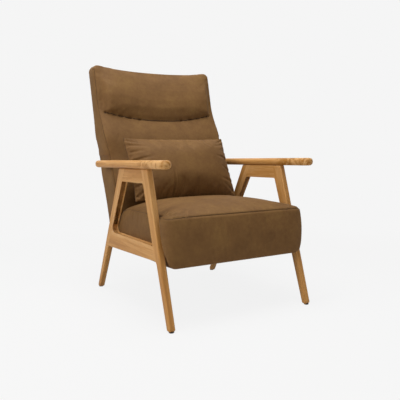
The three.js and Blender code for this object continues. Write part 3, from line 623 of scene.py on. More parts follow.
def seat_ring(u):
    """The seat's side-view outline at a share of its half width, from the rear lip over the top and round."""
    front = SEAT_FRONT + turned_corner(u, SEAT_HALF_WIDTH, SEAT_CORNER)
    bottom = SEAT_BOTTOM + turned_corner(u, SEAT_HALF_WIDTH, SEAT_SIDE_UNDER)
    crown = SEAT_CROWN * (1 - abs(u) ** SEAT_CROWN_FALL[0 if u < 0 else 1])
    slope_top = SEAT_SEAM + crown * 0.9
    ring = []
    for step in range(19):
        angle = math.pi / 2 * (1 - step / 18)
        ring.append((
            SEAT_SLOPE_START + (SEAT_REAR - SEAT_SLOPE_START) * math.sin(angle),
            SEAT_REAR_LIP + (slope_top - SEAT_REAR_LIP) * math.cos(angle),
        ))
    for step in range(1, 41):
        share = 1 - step / 40
        ring.append((
            front + (SEAT_SLOPE_START - front) * share,
            SEAT_SEAM + crown * max(0.0, seat_crown_share(share)) * (1 if share > 0 else 0),
        ))
    corner = SEAT_LOWER_ROUND
    for step in range(1, 16):
        height = SEAT_SEAM + (bottom + corner - SEAT_SEAM) * step / 15
        share = (height - bottom) / (SEAT_SEAM - bottom)
        ring.append((front - seat_front_bulge(share), height))
    reach = ring[-1][0]
    for step in range(1, 7):
        angle = math.pi / 2 * step / 6
        ring.append((reach + corner * (1 - math.cos(angle)), bottom + corner * (1 - math.sin(angle))))
    for step in range(1, 16):
        ring.append((reach + corner + (SEAT_REAR - 0.012 - reach - corner) * step / 15, bottom))
    ring.append((SEAT_REAR - 0.004, bottom + 0.004))
    ring.append((SEAT_REAR, bottom + 0.012))
    ring.append((SEAT_REAR, (bottom + SEAT_REAR_LIP) / 2))
    return [(y + MIDDLE_Y, z) for y, z in ring]


def skin_rings(rings, name):
    """A closed skin over a row of equal rings."""
    shape = bmesh.new()
    rows = [[shape.verts.new(point) for point in ring] for ring in rings]
    for near, far in zip(rows, rows[1:]):
        for i in range(len(near)):
            j = (i + 1) % len(near)
            shape.faces.new((near[i], near[j], far[j], far[i]))
    shape.faces.new(rows[0][::-1])
    shape.faces.new(rows[-1])
    bmesh.ops.recalc_face_normals(shape, faces=shape.faces)
    return mesh_from(shape, name)


def points_of(mesh):
    flat = np.empty(len(mesh.vertices) * 3)
    mesh.vertices.foreach_get("co", flat)
    return flat.reshape(-1, 3)


def normals_of(mesh):
    flat = np.empty(len(mesh.vertices) * 3)
    mesh.vertex_normals.foreach_get("vector", flat)
    return flat.reshape(-1, 3)


def move_points(mesh, points):
    mesh.vertices.foreach_set("co", np.ascontiguousarray(points).reshape(-1))
    mesh.update()


def draw_in(mesh, half_width):
    """Presses a cover flat where it would swell past what stands beside it."""
    points = points_of(mesh)
    limits = np.array([half_width(y, z) for _, y, z in points])
    points[:, 0] = np.clip(points[:, 0], -limits, limits)
    move_points(mesh, points)


def even_skin(mesh, voxel, rounds=3):
    """Remeshes a form into small even squares and eases them."""
    piece = place_object("form", mesh)
    remesh = piece.modifiers.new("even squares", "REMESH")
    remesh.mode = "VOXEL"
    remesh.voxel_size = voxel
    even = evaluated_mesh(piece)
    piece.modifiers.remove(remesh)
    shape = bmesh.new()
    shape.from_mesh(even)
    for _ in range(rounds):
        bmesh.ops.smooth_vert(
            shape, verts=shape.verts, factor=0.5, use_axis_x=True, use_axis_y=True, use_axis_z=True,
        )
    shape.to_mesh(even)
    shape.free()
    bpy.data.objects.remove(piece)
    return even


def dense_path(path, pitch=0.002):
    """The same path with points no further apart than the pitch."""
    rows = []
    for a, b in zip(path, path[1:]):
        a, b = Vector(a), Vector(b)
        steps = max(1, int((b - a).length / pitch))
        rows += [a.lerp(b, i / steps) for i in range(steps)]
    rows.append(Vector(path[-1]))
    return rows


def distance_to(paths, points):
    """How far each point is from the nearest of some paths."""
    rows = [p for path in paths for p in dense_path(path)]
    tree = KDTree(len(rows))
    for i, row in enumerate(rows):
        tree.insert(row, i)
    tree.balance()
    return np.array([tree.find(point)[2] for point in points])


COVER_PRESSURE = 4
SWELLING_FRAMES = 20


def fill_out(mesh, held, growth, cap):
    """Lets a cover swell over its filling as cloth, with the held points sewn or resting in place."""
    piece = place_object("swelling", mesh)
    start = points_of(mesh)
    sewn = piece.vertex_groups.new(name="sewn")
    for i in np.nonzero(held > 0.01)[0]:
        sewn.add([int(i)], float(min(1.0, held[i])), "REPLACE")
    cloth = piece.modifiers.new("cover", "CLOTH")
    cloth.settings.quality = 3
    cloth.settings.mass = 0.35
    cloth.settings.tension_stiffness = 18
    cloth.settings.compression_stiffness = 18
    cloth.settings.shear_stiffness = 6
    cloth.settings.bending_stiffness = 1.2
    cloth.settings.use_pressure = True
    cloth.settings.uniform_pressure_force = COVER_PRESSURE
    cloth.settings.shrink_min = growth
    cloth.settings.vertex_group_mass = "sewn"
    cloth.settings.effector_weights.gravity = 0
    cloth.collision_settings.use_collision = False
    cloth.point_cache.frame_start = 1
    cloth.point_cache.frame_end = SWELLING_FRAMES
    for frame_number in range(1, SWELLING_FRAMES + 1):
        bpy.context.scene.frame_set(frame_number)
    swollen = evaluated_mesh(piece)
    moved = points_of(swollen) - start
    length = np.maximum(np.linalg.norm(moved, axis=1), 1e-9)
    eased = cap * np.tanh(length / cap) / length
    piece.modifiers.remove(cloth)
    bpy.data.objects.remove(piece)
    bpy.data.meshes.remove(swollen)
    bpy.context.scene.frame_set(1)
    move_points(mesh, start + moved * eased[:, None])


def subdivided(mesh):
    """The same skin with each square in four."""
    piece = place_object("finer", mesh)
    finer = piece.modifiers.new("finer", "SUBSURF")
    finer.levels = 1
    finer.render_levels = 1
    ready = evaluated_mesh(piece)
    bpy.data.objects.remove(piece)
    bpy.data.meshes.remove(mesh)
    return ready


def bell(distance, width):
    """1 at no distance, falling away within a width."""
    return np.exp(-(distance / width) ** 2)


def press_folds(mesh, folds):
    """Presses folds into a cover: each is a furrow with raised sides on the face that looks one way."""
    points = points_of(mesh)
    normals = normals_of(mesh)
    change = np.zeros(len(points))
    for start, end, looks, depth, width in folds:
        looks = np.array(looks)
        flat = np.eye(3) - np.outer(looks, looks)
        start, run = flat @ np.array(start), flat @ (np.array(end) - np.array(start))
        offset = points @ flat - start
        share = np.clip(offset @ run / (run @ run), 0, 1)
        away = np.linalg.norm(offset - share[:, None] * run, axis=1) / width
        strength = np.minimum(1, share / 0.12 + 0.25) * (1 - share) ** 0.8
        strength *= np.clip(normals @ looks * 3, 0, 1)
        change -= depth * strength * (1 - 1.6 * away ** 2) * np.exp(-away ** 2)
    move_points(mesh, points + normals * change[:, None])


# The seams: thin rolls along the turned hide in a dark colour that is painted shade, and a darker roll in the
# head roll's crease that is painted shade too.
SEAM_RADIUS = 0.0013
CREASE_SEAM_RADIUS = 0.0026
SEAM_SIDES = 6
# painted shade: the seam rolls take the colour of the turned hide in shade.
seam_painted_shade = nubuck("painted shade of turned seams", 5, "#33220F", "#3D2914", "#4A331B")
# painted shade: the crease roll is coloured nearly black for the shade under the head roll.
crease_painted_shade = nubuck("painted shade in the head roll crease", 7, "#241608", "#2C1C0C", "#352210")


def seam_line(name, path, skin, radius=SEAM_RADIUS):
    """A sewn seam as a thin rolled line laid in the surface along a path; its material paints the seam's
    shade.
    """
    surface = BVHTree.FromPolygons([v.co for v in skin.vertices], [p.vertices[:] for p in skin.polygons])
    rows = []
    for point in dense_path(path, 0.004):
        place, normal, _, _ = surface.find_nearest(point)
        rows.append((place - normal * radius * 0.35, normal))
    spokes = [2 * math.pi * k / SEAM_SIDES for k in range(SEAM_SIDES)]
    rings = []
    for i, (place, normal) in enumerate(rows):
        along = (rows[min(i + 1, len(rows) - 1)][0] - rows[max(i - 1, 0)][0]).normalized()
        across = along.cross(normal).normalized()
        up = across.cross(along)
        rings.append([place + (across * math.cos(a) + up * math.sin(a)) * radius for a in spokes])
    mesh = skin_rings(rings, name)
    mesh.shade_smooth()
    return mesh


stations = [math.sin(math.pi / 2 * step / 24) for step in range(-24, 25)]
seat_rings = [[(u * (SEAT_HALF_WIDTH + seat_swell(y, z)), y, z) for y, z in seat_ring(u)] for u in stations]
seat_middle = ((SEAT_REAR + SEAT_FRONT) / 2 + MIDDLE_Y, (SEAT_BOTTOM + SEAT_SEAM) / 2)


def seat_dome(sign):
    """Rings that close one side of the seat in a shallow dome."""
    rings = []
    for size in (0.98, 0.94, 0.88, 0.8, 0.68, 0.52, 0.34, 0.16, 0.05):
        reach = SEAT_HALF_WIDTH + SEAT_SIDE_BULGE * (1 - size ** 5) ** 0.8
        ring = []
        for y, z in seat_ring(1):
            y = seat_middle[0] + (y - seat_middle[0]) * size
            z = seat_middle[1] + (z - seat_middle[1]) * size
            ring.append((sign * (reach + seat_swell(y, z)), y, z))
        rings.append(ring)
    return rings


seat_form = skin_rings(seat_dome(-1)[::-1] + seat_rings + seat_dome(1), "seat_form")
TOP_PANEL_POINTS = 59
seat_side_top = seat_ring(1)[:TOP_PANEL_POINTS]
seat_left_seam = [(-SEAT_HALF_WIDTH - seat_swell(y, z), y, z) for y, z in seat_side_top]
seat_seam = seat_left_seam + [ring[TOP_PANEL_POINTS - 1] for ring in seat_rings[1:-1]]
seat_seam += [(-x, y, z) for x, y, z in seat_left_seam[::-1]]

# Pull lines of the seat's hide: short ones that fan in from the sewn front corners, and a row of upright ones
# low on each side, where the hide is drawn down over the rail.
# A corner fold has its place across and behind the front seam, its reach and its turn from the side.
CORNER_FOLDS = [
    (0.262, 0.018, 0.05, 0.35), (0.247, 0.010, 0.075, 0.63), (0.228, 0.006, 0.055, 0.91),
    (0.272, 0.040, 0.06, 0.46), (0.276, 0.072, 0.045, 0.58),
]
CORNER_FOLD_SECTION = (0.0026, 0.008)
RAIL_FOLDS = 9
RAIL_FOLD_FIRST = -0.175
RAIL_FOLD_PITCH = 0.033
RAIL_FOLD_HEIGHT = 0.042
RAIL_FOLD_LOW = SIDE_RAIL_TOP - 0.006
RAIL_FOLD_SECTION = (0.0042, 0.0075)
seat_folds = []
for sign in (-1, 1):
    for across, back, reach, angle in CORNER_FOLDS:
        x, y = sign * across, SEAT_FRONT + MIDDLE_Y + back
        end = (x - sign * reach * math.cos(angle), y + reach * math.sin(angle), SEAT_SEAM + SEAT_CROWN * 0.7)
        seat_folds.append(((x, y, SEAT_SEAM + 0.012), end, (0, 0, 1), *CORNER_FOLD_SECTION))
    x = sign * (SEAT_HALF_WIDTH + SEAT_SIDE_BULGE)
    for number in range(RAIL_FOLDS):
        y = RAIL_FOLD_FIRST + RAIL_FOLD_PITCH * number + 0.009 * math.sin(number * 2.3 + sign) + MIDDLE_Y
        lean = 0.006 * math.sin(number * 1.1)
        end = (x, y + lean, RAIL_FOLD_LOW + RAIL_FOLD_HEIGHT + 0.016 * math.sin(number * 1.7 + 0.6 * sign))
        seat_folds.append(((x, y, RAIL_FOLD_LOW), end, (sign, 0, 0), *RAIL_FOLD_SECTION))

# The hide starts a little slack between its seams and the filling swells it out again. It is held where it is
# sewn and where it lies on a frame, and the seams then draw a groove.
SLACK = 0.003
SLACK_SPREAD = 0.03
SEWN_WIDTH = 0.006
RESTS_WITHIN = 0.006
SEAM_GROOVE = (0.0038, 0.0052)
SEAT_HIDE_GROWTH = -0.004
SEAT_TRAVEL = 0.008
SEAT_VOXEL = 0.0065
seat_skin = even_skin(seat_form, SEAT_VOXEL, 2)
seat_points = points_of(seat_skin)
seat_from_seam = distance_to([seat_seam], seat_points)
underneath = seat_points[:, 2] < SEAT_BOTTOM + RESTS_WITHIN
slack = SLACK * (1 - bell(seat_from_seam, SLACK_SPREAD))
slack[underneath] = 0
move_points(seat_skin, seat_points - normals_of(seat_skin) * slack[:, None])
held = np.maximum(bell(seat_from_seam, SEWN_WIDTH), underneath)
fill_out(seat_skin, held, SEAT_HIDE_GROWTH, SEAT_TRAVEL)
seat_skin = subdivided(seat_skin)

seat_points = points_of(seat_skin)
seat_from_seam = distance_to([seat_seam], seat_points)
groove = SEAM_GROOVE[0] * bell(seat_from_seam, SEAM_GROOVE[1])
move_points(seat_skin, seat_points - normals_of(seat_skin) * groove[:, None])
press_folds(seat_skin, seat_folds)
draw_in(seat_skin, lambda y, z: SEAT_HALF_WIDTH + SEAT_SIDE_BULGE + seat_swell(y, z))
seat_points = points_of(seat_skin)
dust_low, dust_high = (np.array(corner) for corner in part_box("seat_dust_cover"))
inside = (seat_points > dust_low - 0.001) & (seat_points < dust_high + 0.001)
under = inside[:, 0] & inside[:, 1] & (seat_points[:, 2] < SEAT_BOTTOM + 0.004)
seat_points[under, 2] = DUST_COVER_TOP
move_points(seat_skin, seat_points)
seat_skin.shade_smooth()
seat_pad = add_piece("seat_pad", seat_skin, hide)
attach(seat_pad, "chair")
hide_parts("seat_cover", "seat_foam")

seat_seam_piece = add_piece("seat_seam", seam_line("seat_seam", seat_seam, seat_skin), seam_painted_shade)
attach(seat_seam_piece, "chair")


# The back: a tall padded shell whose sides come forward as shallow wings. A soft head roll stands out across
# its top, sewn off by one curved crease, and a boxed side panel is seamed to the front along each edge.
BACK_HEIGHT = 1.020
BACK_BOTTOM = 0.216
BACK_TOP_DIP = 0.011
BACK_CORNER = 0.027
BACK_REAR_BOTTOM = 0.259
BACK_REAR_LUMBAR = (0.028, 0.530, 0.130)
BACK_HEAD_REACH = 0.366
BACK_RAKE = math.radians(14)
BACK_HALF_WIDTHS = (0.2835, 0.3018)
BACK_WIDEN = (0.583, 0.705)
BACK_WING = 0.032
BACK_PILLOW = 0.017
BACK_TOP_ROUND = 0.016
LUMBAR = (0.011, 0.530, 0.120)
CREASE = (0.762, 0.044)
CREASE_DEPTH = 0.009
CREASE_WIDTH = 0.010
HEAD_ROLL = 0.036
ROLL_ENDS = (0.84, 0.92)
ROLL_END_GROOVE = (0.011, 0.905, 0.016)
BACK_REAR_FULLNESS = 0.005


back_side_share = curve_near(
    [0, 0.13, 0.317, 0.379, 0.429, 0.479, 0.529, 0.579, 0.628, 0.678, 0.728, 0.778, 0.853, 0.928, 1],
    [0.541, 0.557, 0.522, 0.579, 0.631, 0.672, 0.691, 0.713, 0.765, 0.831, 0.893, 0.932, 0.964, 0.997, 1.033],
    0.03,
)
roll_share = curve_near(
    [0, 0.05, 0.12, 0.25, 0.42, 0.62, 0.82, 1], [0, 0.5, 0.78, 0.98, 1, 0.8, 0.42, 0], 0.018,
)


def back_front_edge(z):
    """The y of the front edge of the back's side at a height."""
    share = (z - BACK_BOTTOM) / (BACK_HEIGHT - BACK_BOTTOM)
    return BACK_HEAD_REACH * back_side_share(min(1.0, max(0.0, share)))


def back_half_width(z):
    low, high = BACK_HALF_WIDTHS
    return low + (high - low) * smooth_step(z, *BACK_WIDEN)


def back_curve(z, u):
    return BACK_WING * smooth_step(z, SEAT_SEAM, BACK_HEIGHT) * (1 - u * u)


def fullness(u):
    return 1 - min(1.0, abs(u)) ** 8


def roll_fullness(u):
    """The head roll and its crease stop short of the sides and leave a flat wing beside them."""
    return 1 - smooth_step(abs(u), *ROLL_ENDS)


def crease_height(u):
    return CREASE[0] + CREASE[1] * u * u


def back_top(u):
    return BACK_HEIGHT - BACK_TOP_DIP * (1 - u * u) - turned_corner(u, BACK_HALF_WIDTHS[1], BACK_CORNER)


def back_front_point(z, u, roll):
    """A point of the front face, whose roll is the head roll's share at that height."""
    above = smooth_step(z, SEAT_SEAM, SEAT_SEAM + 0.073)
    lumbar = LUMBAR[0] * float(bell(z - LUMBAR[1], LUMBAR[2])) * (1 - u * u)
    pillow = (BACK_PILLOW * fullness(u) + lumbar) * above
    groove = CREASE_DEPTH * float(bell(z - crease_height(u), CREASE_WIDTH)) * roll_fullness(u)
    depth, place, width = ROLL_END_GROOVE
    rise = (z - crease_height(u)) / (BACK_HEIGHT - CREASE[0])
    if rise > 0:
        groove += depth * float(bell(abs(u) - place, width)) * max(0.0, 1 - rise / 0.6)
    y = back_front_edge(z) + back_curve(z, u) - pillow - HEAD_ROLL * roll * roll_fullness(u) + groove
    return (u * back_half_width(z), y, z)


def back_rear_point(z, u):
    y = BACK_REAR_BOTTOM + math.tan(BACK_RAKE) * (z - BACK_BOTTOM) + back_curve(z, u)
    y += BACK_REAR_LUMBAR[0] * float(bell(z - BACK_REAR_LUMBAR[1], BACK_REAR_LUMBAR[2]))
    return (u * back_half_width(z), y + BACK_REAR_FULLNESS * fullness(u), z)


def back_ring(u):
    """The back's side-view outline: up the front, over the top and down the rear."""
    top = back_top(u)
    shoulder = top - BACK_TOP_ROUND
    fold = crease_height(u)
    body = [BACK_BOTTOM + (fold - BACK_BOTTOM) * step / 44 for step in range(44)]
    roll = [fold + (shoulder - fold) * step / 24 for step in range(25)]
    ring = [back_front_point(z, u, 0) for z in body]
    ring += [back_front_point(z, u, max(0.0, roll_share((z - fold) / (shoulder - fold)))) for z in roll]
    front, rear = ring[-1], back_rear_point(shoulder, u)
    angles = [math.pi / 2 * step / 5 for step in range(1, 6)]
    rounds = [(BACK_TOP_ROUND * (1 - math.cos(a)), shoulder + BACK_TOP_ROUND * math.sin(a)) for a in angles]
    ring += [(front[0], front[1] + inwards, z) for inwards, z in rounds]
    ring += [(rear[0], rear[1] - inwards, z) for inwards, z in rounds[::-1]]
    ring += [back_rear_point(z, u) for z in (body + roll)[::-1]]
    return [(x, y + MIDDLE_Y, z) for x, y, z in ring]


back_form = skin_rings([back_ring(u) for u in stations], "back_form")
back_side_seams = [back_ring(sign)[:74] for sign in (-1, 1)]
back_rear_seams = [back_ring(sign)[79:] for sign in (-1, 1)]
back_crease = [back_front_point(crease_height(u), u, 0) for u in stations if abs(u) < ROLL_ENDS[1]]
back_crease = [(x, y + MIDDLE_Y, z) for x, y, z in back_crease]

BACK_VOXEL = 0.0065
BACK_TRAVEL = 0.008
CREASE_SEWN_WIDTH = 0.007
CREASE_GROOVE = (0.0085, 0.0055)
back_skin = even_skin(back_form, BACK_VOXEL, 1)
back_points = points_of(back_skin)
from_sides = distance_to(back_side_seams + back_rear_seams, back_points)
from_crease = distance_to([back_crease], back_points)
from_seams = np.minimum(from_sides, from_crease)
behind = normals_of(back_skin)[:, 1] > 0.7
slack = SLACK * (1 - bell(from_seams, SLACK_SPREAD))
slack[behind] *= 0.2
move_points(back_skin, back_points - normals_of(back_skin) * slack[:, None])
sewn = np.maximum(bell(from_sides, SEWN_WIDTH), bell(from_crease, CREASE_SEWN_WIDTH))
held = np.maximum(sewn, behind | (back_points[:, 2] < BACK_BOTTOM + RESTS_WITHIN))
fill_out(back_skin, held, 0, BACK_TRAVEL)
back_skin = subdivided(back_skin)

back_points = points_of(back_skin)
from_sides = distance_to(back_side_seams + back_rear_seams, back_points)
from_crease = distance_to([back_crease], back_points)
groove = SEAM_GROOVE[0] * bell(from_sides, SEAM_GROOVE[1])
groove += CREASE_GROOVE[0] * bell(from_crease, CREASE_GROOVE[1])
move_points(back_skin, back_points - normals_of(back_skin) * groove[:, None])
draw_in(back_skin, lambda y, z: back_half_width(z) if z < BACK_WIDEN[0] + 0.02 else 1)
back_skin.shade_smooth()
back_pad = add_piece("back_pad", back_skin, hide)
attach(back_pad, "chair")
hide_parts("back_cover", "back_foam")

back_seam_names = ("left_front", "right_front", "left_rear", "right_rear")
for label, path in zip(back_seam_names, back_side_seams + back_rear_seams):
    mesh = seam_line(f"back_{label}_seam", path, back_skin)
    piece = add_piece(f"back_{label}_seam", mesh, seam_painted_shade)
    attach(piece, "chair")
crease_mesh = seam_line("crease", back_crease, back_skin, CREASE_SEAM_RADIUS)
crease_line = add_piece("head_roll_crease_seam", crease_mesh, crease_painted_shade)
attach(crease_line, "chair")


# The lumbar cushion: two rectangles of the same hide sewn face to face at a thin knife edge and stuffed with
# fibre. Its corners stand out in points, its sides draw in, and the hide puckers where it meets the seam.
CUSHION_HALF_LENGTH = 0.249
CUSHION_HALF_HEIGHT = 0.146
CUSHION_THICKNESS = 0.154
CUSHION_LEAN = math.radians(24)
CUSHION_HEIGHT = 0.543
CUSHION_FROM_BACK = 0.1095
CUSHION_EDGE = 0.003
CUSHION_DRAW = 0.007
CUSHION_START = 0.93
CUSHION_HIDE_GROWTH = -0.02
CUSHION_TRAVEL = 0.010

cushion_place = (
    Matrix.Translation((0, back_front_edge(CUSHION_HEIGHT) - CUSHION_FROM_BACK + MIDDLE_Y, CUSHION_HEIGHT))
    @ Matrix.Rotation(-CUSHION_LEAN, 4, "X")
)


def plumpness(share):
    """How full the cushion is at a share of the way from its middle to its seam."""
    return max(0.0, 1 - abs(share) ** 2.9) ** 0.7


def cushion_point(u, v, face):
    """A point of the near (-1) or far (1) face, or of the seam (0), before the cushion is leaned back."""
    height = CUSHION_HALF_HEIGHT - CUSHION_DRAW * (1 - u ** 4)
    depth = CUSHION_EDGE + (CUSHION_THICKNESS * CUSHION_START - CUSHION_EDGE) * plumpness(u) * plumpness(v)
    x = u * (CUSHION_HALF_LENGTH - CUSHION_DRAW * (1 - v ** 4))
    return (x, face * depth / 2, v * height)


cushion_shares = [math.sin(math.pi / 2 * step / 18) for step in range(-18, 19)]
cushion_rings = []
for u in cushion_shares:
    near = [cushion_point(u, v, -1) for v in cushion_shares]
    far = [cushion_point(u, v, 1) for v in cushion_shares[::-1]]
    cushion_rings.append(near + far)
cushion_form = skin_rings(cushion_rings, "cushion_form")
edge = [cushion_point(u, -1, 0) for u in cushion_shares]
edge += [cushion_point(1, v, 0) for v in cushion_shares[1:]]
edge += [cushion_point(u, 1, 0) for u in cushion_shares[::-1][1:]]
edge += [cushion_point(-1, v, 0) for v in cushion_shares[::-1][1:]]

# Puckers of the cushion's hide: they fan in from its side seams and corners on both faces, and one long fold
# hangs down its front.
# A side pucker has its height share, its reach, its rise and its depth.
SIDE_PUCKERS = [
    (0.93, 0.06, -0.22, 0.0046), (0.74, 0.085, -0.16, 0.004), (0.5, 0.06, -0.04, 0.0034),
    (0.2, 0.09, 0.04, 0.0046), (-0.2, 0.07, 0.1, 0.004), (-0.58, 0.09, 0.1, 0.0034),
    (-0.88, 0.07, 0.24, 0.0046),
]
PUCKER_WIDTH = 0.0085
PUCKER_START = 0.985
cushion_folds = [
    (cushion_point(-0.31, -0.98, -1), cushion_point(-0.32, -0.15, -1), (0, -1, 0), 0.006, 0.007),
    (cushion_point(-0.19, -0.98, -1), cushion_point(-0.16, -0.5, -1), (0, -1, 0), 0.003, 0.007),
]
for end in (-1, 1):
    for face in (-1, 1):
        for v, reach, rise, depth in SIDE_PUCKERS:
            start = cushion_point(end * PUCKER_START, v, face)
            middle = cushion_point(end * (PUCKER_START - reach / CUSHION_HALF_LENGTH), v + rise, face)
            cushion_folds.append((start, middle, (0, face, 0), depth, PUCKER_WIDTH))

CUSHION_VOXEL = 0.005
cushion_skin = even_skin(cushion_form, CUSHION_VOXEL, 1)
cushion_points = points_of(cushion_skin)
from_edge = distance_to([edge], cushion_points)
fill_out(cushion_skin, bell(from_edge, SEWN_WIDTH), CUSHION_HIDE_GROWTH, CUSHION_TRAVEL)
cushion_skin = subdivided(cushion_skin)
press_folds(cushion_skin, cushion_folds)
cushion_skin.transform(cushion_place)
cushion_skin.shade_smooth()
cushion = add_piece("lumbar_cushion_leather", cushion_skin, hide)
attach(cushion, "cushion")
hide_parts("lumbar_cushion")

edge_path = [cushion_place @ Vector(point) for point in edge]
cushion_seam = add_piece("cushion_seam", seam_line("cushion_seam", edge_path, cushion_skin), seam_painted_shade)
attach(cushion_seam, "cushion")

# The outside back: one panel of hide over board, closed by hand along its turned edge.
PANEL_HALF_WIDTH = 0.265
PANEL_HEIGHTS = (0.234, 0.959)
PANEL_PROUD = 0.0015
PANEL_EDGE = 0.003
PANEL_SUNK = Vector((0, 0.0035, 0))
panel_rows = [step / 40 for step in range(41)]


def panel_point(a, b):
    """A point of the panel's outer face at shares of its width and height."""
    z = PANEL_HEIGHTS[0] + (PANEL_HEIGHTS[1] - PANEL_HEIGHTS[0]) * b
    x = PANEL_HALF_WIDTH * (2 * a - 1)
    u = x / back_half_width(z)
    edge_distance = min(a, 1 - a) * 2 * PANEL_HALF_WIDTH
    edge_distance = min(edge_distance, min(b, 1 - b) * (PANEL_HEIGHTS[1] - PANEL_HEIGHTS[0]))
    rise = PANEL_PROUD * min(1.0, edge_distance / PANEL_EDGE)
    return Vector((x, back_rear_point(z, u)[1] + MIDDLE_Y + rise, z))


panel_grid = sorted({0.0, 0.004, 0.008, *panel_rows, 0.992, 0.996, 1.0})
panel_shape = bmesh.new()
outer_face = [[panel_shape.verts.new(panel_point(a, b)) for a in panel_grid] for b in panel_grid]
inner_face = [[panel_shape.verts.new(panel_point(a, b) - PANEL_SUNK) for a in panel_grid] for b in panel_grid]
count = len(panel_grid)
for i in range(count - 1):
    for j in range(count - 1):
        for sheet in (outer_face, inner_face):
            panel_shape.faces.new((sheet[i][j], sheet[i][j + 1], sheet[i + 1][j + 1], sheet[i + 1][j]))
rim = [(0, j) for j in range(count)] + [(i, count - 1) for i in range(1, count)]
rim += [(count - 1, j) for j in range(count - 2, -1, -1)] + [(i, 0) for i in range(count - 2, 0, -1)]
for (i, j), (k, m) in zip(rim, rim[1:] + rim[:1]):
    panel_shape.faces.new((outer_face[i][j], outer_face[k][m], inner_face[k][m], inner_face[i][j]))
bmesh.ops.recalc_face_normals(panel_shape, faces=panel_shape.faces)
panel_mesh = finished_mesh(panel_shape, "outside_back_panel", 60)
outside_panel = add_piece("outside_back_panel", panel_mesh, hide)
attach(outside_panel, "chair")
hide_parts("back_outside_panel")


# What holds the panel: a row of waxed thread stitches just inside its edge, made with a curved needle, 5 mm
# long and 8 mm apart. The node tree lays rounded rods along any path, for these and for the staples below.
def row_tree(name, material):
    """A node tree that lays equal rods along a path."""
    tree = bpy.data.node_groups.new(name, "GeometryNodeTree")
    tree.interface.new_socket("Path", in_out="INPUT", socket_type="NodeSocketGeometry")
    for label in ("Pitch", "Rod length", "Rod radius"):
        tree.interface.new_socket(label, in_out="INPUT", socket_type="NodeSocketFloat")
    tree.interface.new_socket("Row", in_out="OUTPUT", socket_type="NodeSocketGeometry")
    given = put(tree, "NodeGroupInput")
    curve = put(tree, "GeometryNodeMeshToCurve", {"Mesh": given.outputs["Path"]})
    places = put(
        tree, "GeometryNodeCurveToPoints", {"Curve": curve.outputs[0], "Length": given.outputs["Pitch"]},
        mode="LENGTH",
    )
    rod = put(tree, "GeometryNodeMeshUVSphere", {"Segments": 6, "Rings": 5, "Radius": 1})
    half_length = put(tree, "ShaderNodeMath", {0: given.outputs["Rod length"], 1: 0.5}, operation="MULTIPLY")
    size = put(tree, "ShaderNodeCombineXYZ", {
        "X": given.outputs["Rod radius"], "Y": given.outputs["Rod radius"], "Z": half_length.outputs[0],
    })
    laid = put(tree, "GeometryNodeInstanceOnPoints", {
        "Points": places.outputs["Points"], "Instance": rod.outputs["Mesh"],
        "Rotation": places.outputs["Rotation"], "Scale": size.outputs[0],
    })
    real = put(tree, "GeometryNodeRealizeInstances", {"Geometry": laid.outputs[0]})
    finished = put(tree, "GeometryNodeSetMaterial", {"Geometry": real.outputs[0], "Material": material})
    put(tree, "NodeGroupOutput", {"Row": finished.outputs[0]})
    return tree


def lay_row(name, path, tree, sizes):
    """Runs a row tree on a path and keeps the result as a plain piece."""
    line = bpy.data.meshes.new(name)
    line.from_pydata(path, [(i, i + 1) for i in range(len(path) - 1)], [])
    piece = place_object(name, line)
    row = piece.modifiers.new("row", "NODES")
    row.node_group = tree
    for item in tree.interface.items_tree:
        if item.name in sizes:
            row[item.identifier] = sizes[item.name]
    laid = evaluated_mesh(piece)
    laid.name = name
    piece.modifiers.remove(row)
    piece.data = laid
    return piece


def thread_finish(name, colour, shade, twist_mm):
    """Thread: a satin face over two tones of a fine twist."""
    material = blank_material(name)
    tree = material.node_tree
    place = put(tree, "ShaderNodeTexCoord").outputs["Object"]
    twist = put(tree, "ShaderNodeTexNoise", {"Vector": place, "Scale": 1000 / twist_mm, "Detail": 2})
    tone = put(
        tree, "ShaderNodeMix", {"Factor": twist.outputs["Fac"], 6: srgb(shade), 7: srgb(colour)},
        data_type="RGBA",
    )
    shader = put(tree, "ShaderNodeBsdfPrincipled", {"Base Color": tone.outputs[2], "Roughness": 0.55})
    put(tree, "ShaderNodeOutputMaterial", {"Surface": shader.outputs[0]})
    return material


STITCH_INSET = 0.007
STITCHES = {"Pitch": 0.008, "Rod length": 0.0052, "Rod radius": 0.0006}
waxed_thread = thread_finish("waxed polyester thread", "#8A6A42", "#6B4F2E", 1.5)
left, low = STITCH_INSET / (2 * PANEL_HALF_WIDTH), STITCH_INSET / (PANEL_HEIGHTS[1] - PANEL_HEIGHTS[0])
stitch_corners = [(left, low), (left, 1 - low), (1 - left, 1 - low), (1 - left, low), (left, low)]
stitch_path = [panel_point(left, low)]
for (a, b), (c, d) in zip(stitch_corners, stitch_corners[1:]):
    stitch_path += [panel_point(a + (c - a) * step / 60, b + (d - b) * step / 60) for step in range(1, 61)]
stitches = lay_row("outside_back_stitches", stitch_path, row_tree("stitches", waxed_thread), STITCHES)
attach(stitches, "chair")


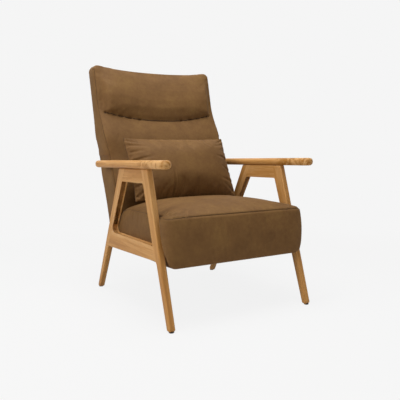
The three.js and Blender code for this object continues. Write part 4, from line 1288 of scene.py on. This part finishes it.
# What the chair hides or barely shows: the bare softwood frames, zinc-plated springs, bolts and inserts,
# woven webbing, the black dust cover under the seat, and felt glides under the feet.
def plain_finish(name, colour, fleck, grain_mm, roughness, metallic=0.0, stretch=(1, 1, 1)):
    """A finish with an uneven tone and a light relief at one grain size."""
    material = blank_material(name)
    tree = material.node_tree
    place = put(tree, "ShaderNodeTexCoord").outputs["Object"]
    laid = put(tree, "ShaderNodeMapping", {"Vector": place, "Scale": stretch})
    grain = put(
        tree, "ShaderNodeTexNoise", {"Vector": laid.outputs[0], "Scale": 1000 / grain_mm, "Detail": 4},
    )
    colours = put(tree, "ShaderNodeValToRGB", {"Fac": grain.outputs["Fac"]})
    set_stops(colours, [(0.35, fleck), (0.65, colour)])
    bump = put(tree, "ShaderNodeBump", {"Height": grain.outputs["Fac"], "Strength": 0.3, "Distance": 0.0005})
    shader = put(tree, "ShaderNodeBsdfPrincipled", {
        "Base Color": colours.outputs[0], "Roughness": roughness, "Metallic": metallic,
        "Normal": bump.outputs[0],
    })
    put(tree, "ShaderNodeOutputMaterial", {"Surface": shader.outputs[0]})
    return material


# Pale rough-sawn wood, with its grain drawn out along the rails.
softwood = plain_finish("sawn softwood", "#D2B583", "#B7945F", 5, 0.8, stretch=(0.1, 1, 1))
# Grey metal with a soft gloss and a faint spangle.
zinc = plain_finish("zinc-plated steel", "#A9ACB0", "#8C9094", 2, 0.34, 1.0)
# Dark brown and dull, with the weave as a fine fleck.
strap = plain_finish("woven elastic webbing", "#40372E", "#2B251F", 1.5, 0.9)
# Nearly black and quite dull.
dust_cloth = plain_finish("spunbonded dust cloth", "#2B2A29", "#1C1B1B", 1.8, 0.95)
# Grey and fully matt.
felt = plain_finish("pressed wool felt", "#55504A", "#3B3732", 1.2, 0.97)
# Pinkish pale wood with an upright grain.
beech = plain_finish("beech dowel", "#D0A778", "#B98D5E", 3, 0.6, stretch=(1, 1, 0.1))
finishes = {
    "glide": felt, "dowel": beech, "webbing": strap, "dust": dust_cloth, "bolt": zinc, "insert": zinc,
    "spring": zinc, "rail": softwood, "block": softwood, "stile": softwood,
}
for name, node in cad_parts.items():
    finish = next((finishes[word] for word in finishes if word in name), hide)
    for slot in node.material_slots:
        slot.material = finish

# The dust cover is held by wire staples, 11 mm wide and 32 mm apart. They are shot up into the seat rails
# near the cloth's edge, so that only their backs show.
STAPLE_INSET = 0.008
STAPLES = {"Pitch": 0.032, "Rod length": 0.011, "Rod radius": 0.0006}
(left, front), (right, rear) = dust_low[:2] + STAPLE_INSET, dust_high[:2] - STAPLE_INSET
staple_corners = [(left, front), (right, front), (right, rear), (left, rear), (left, front)]
staple_path = dense_path([(x, y, dust_low[2]) for x, y in staple_corners], 0.01)
staples = lay_row("dust_cover_staples", staple_path, row_tree("staples", zinc), STAPLES)
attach(staples, "chair")
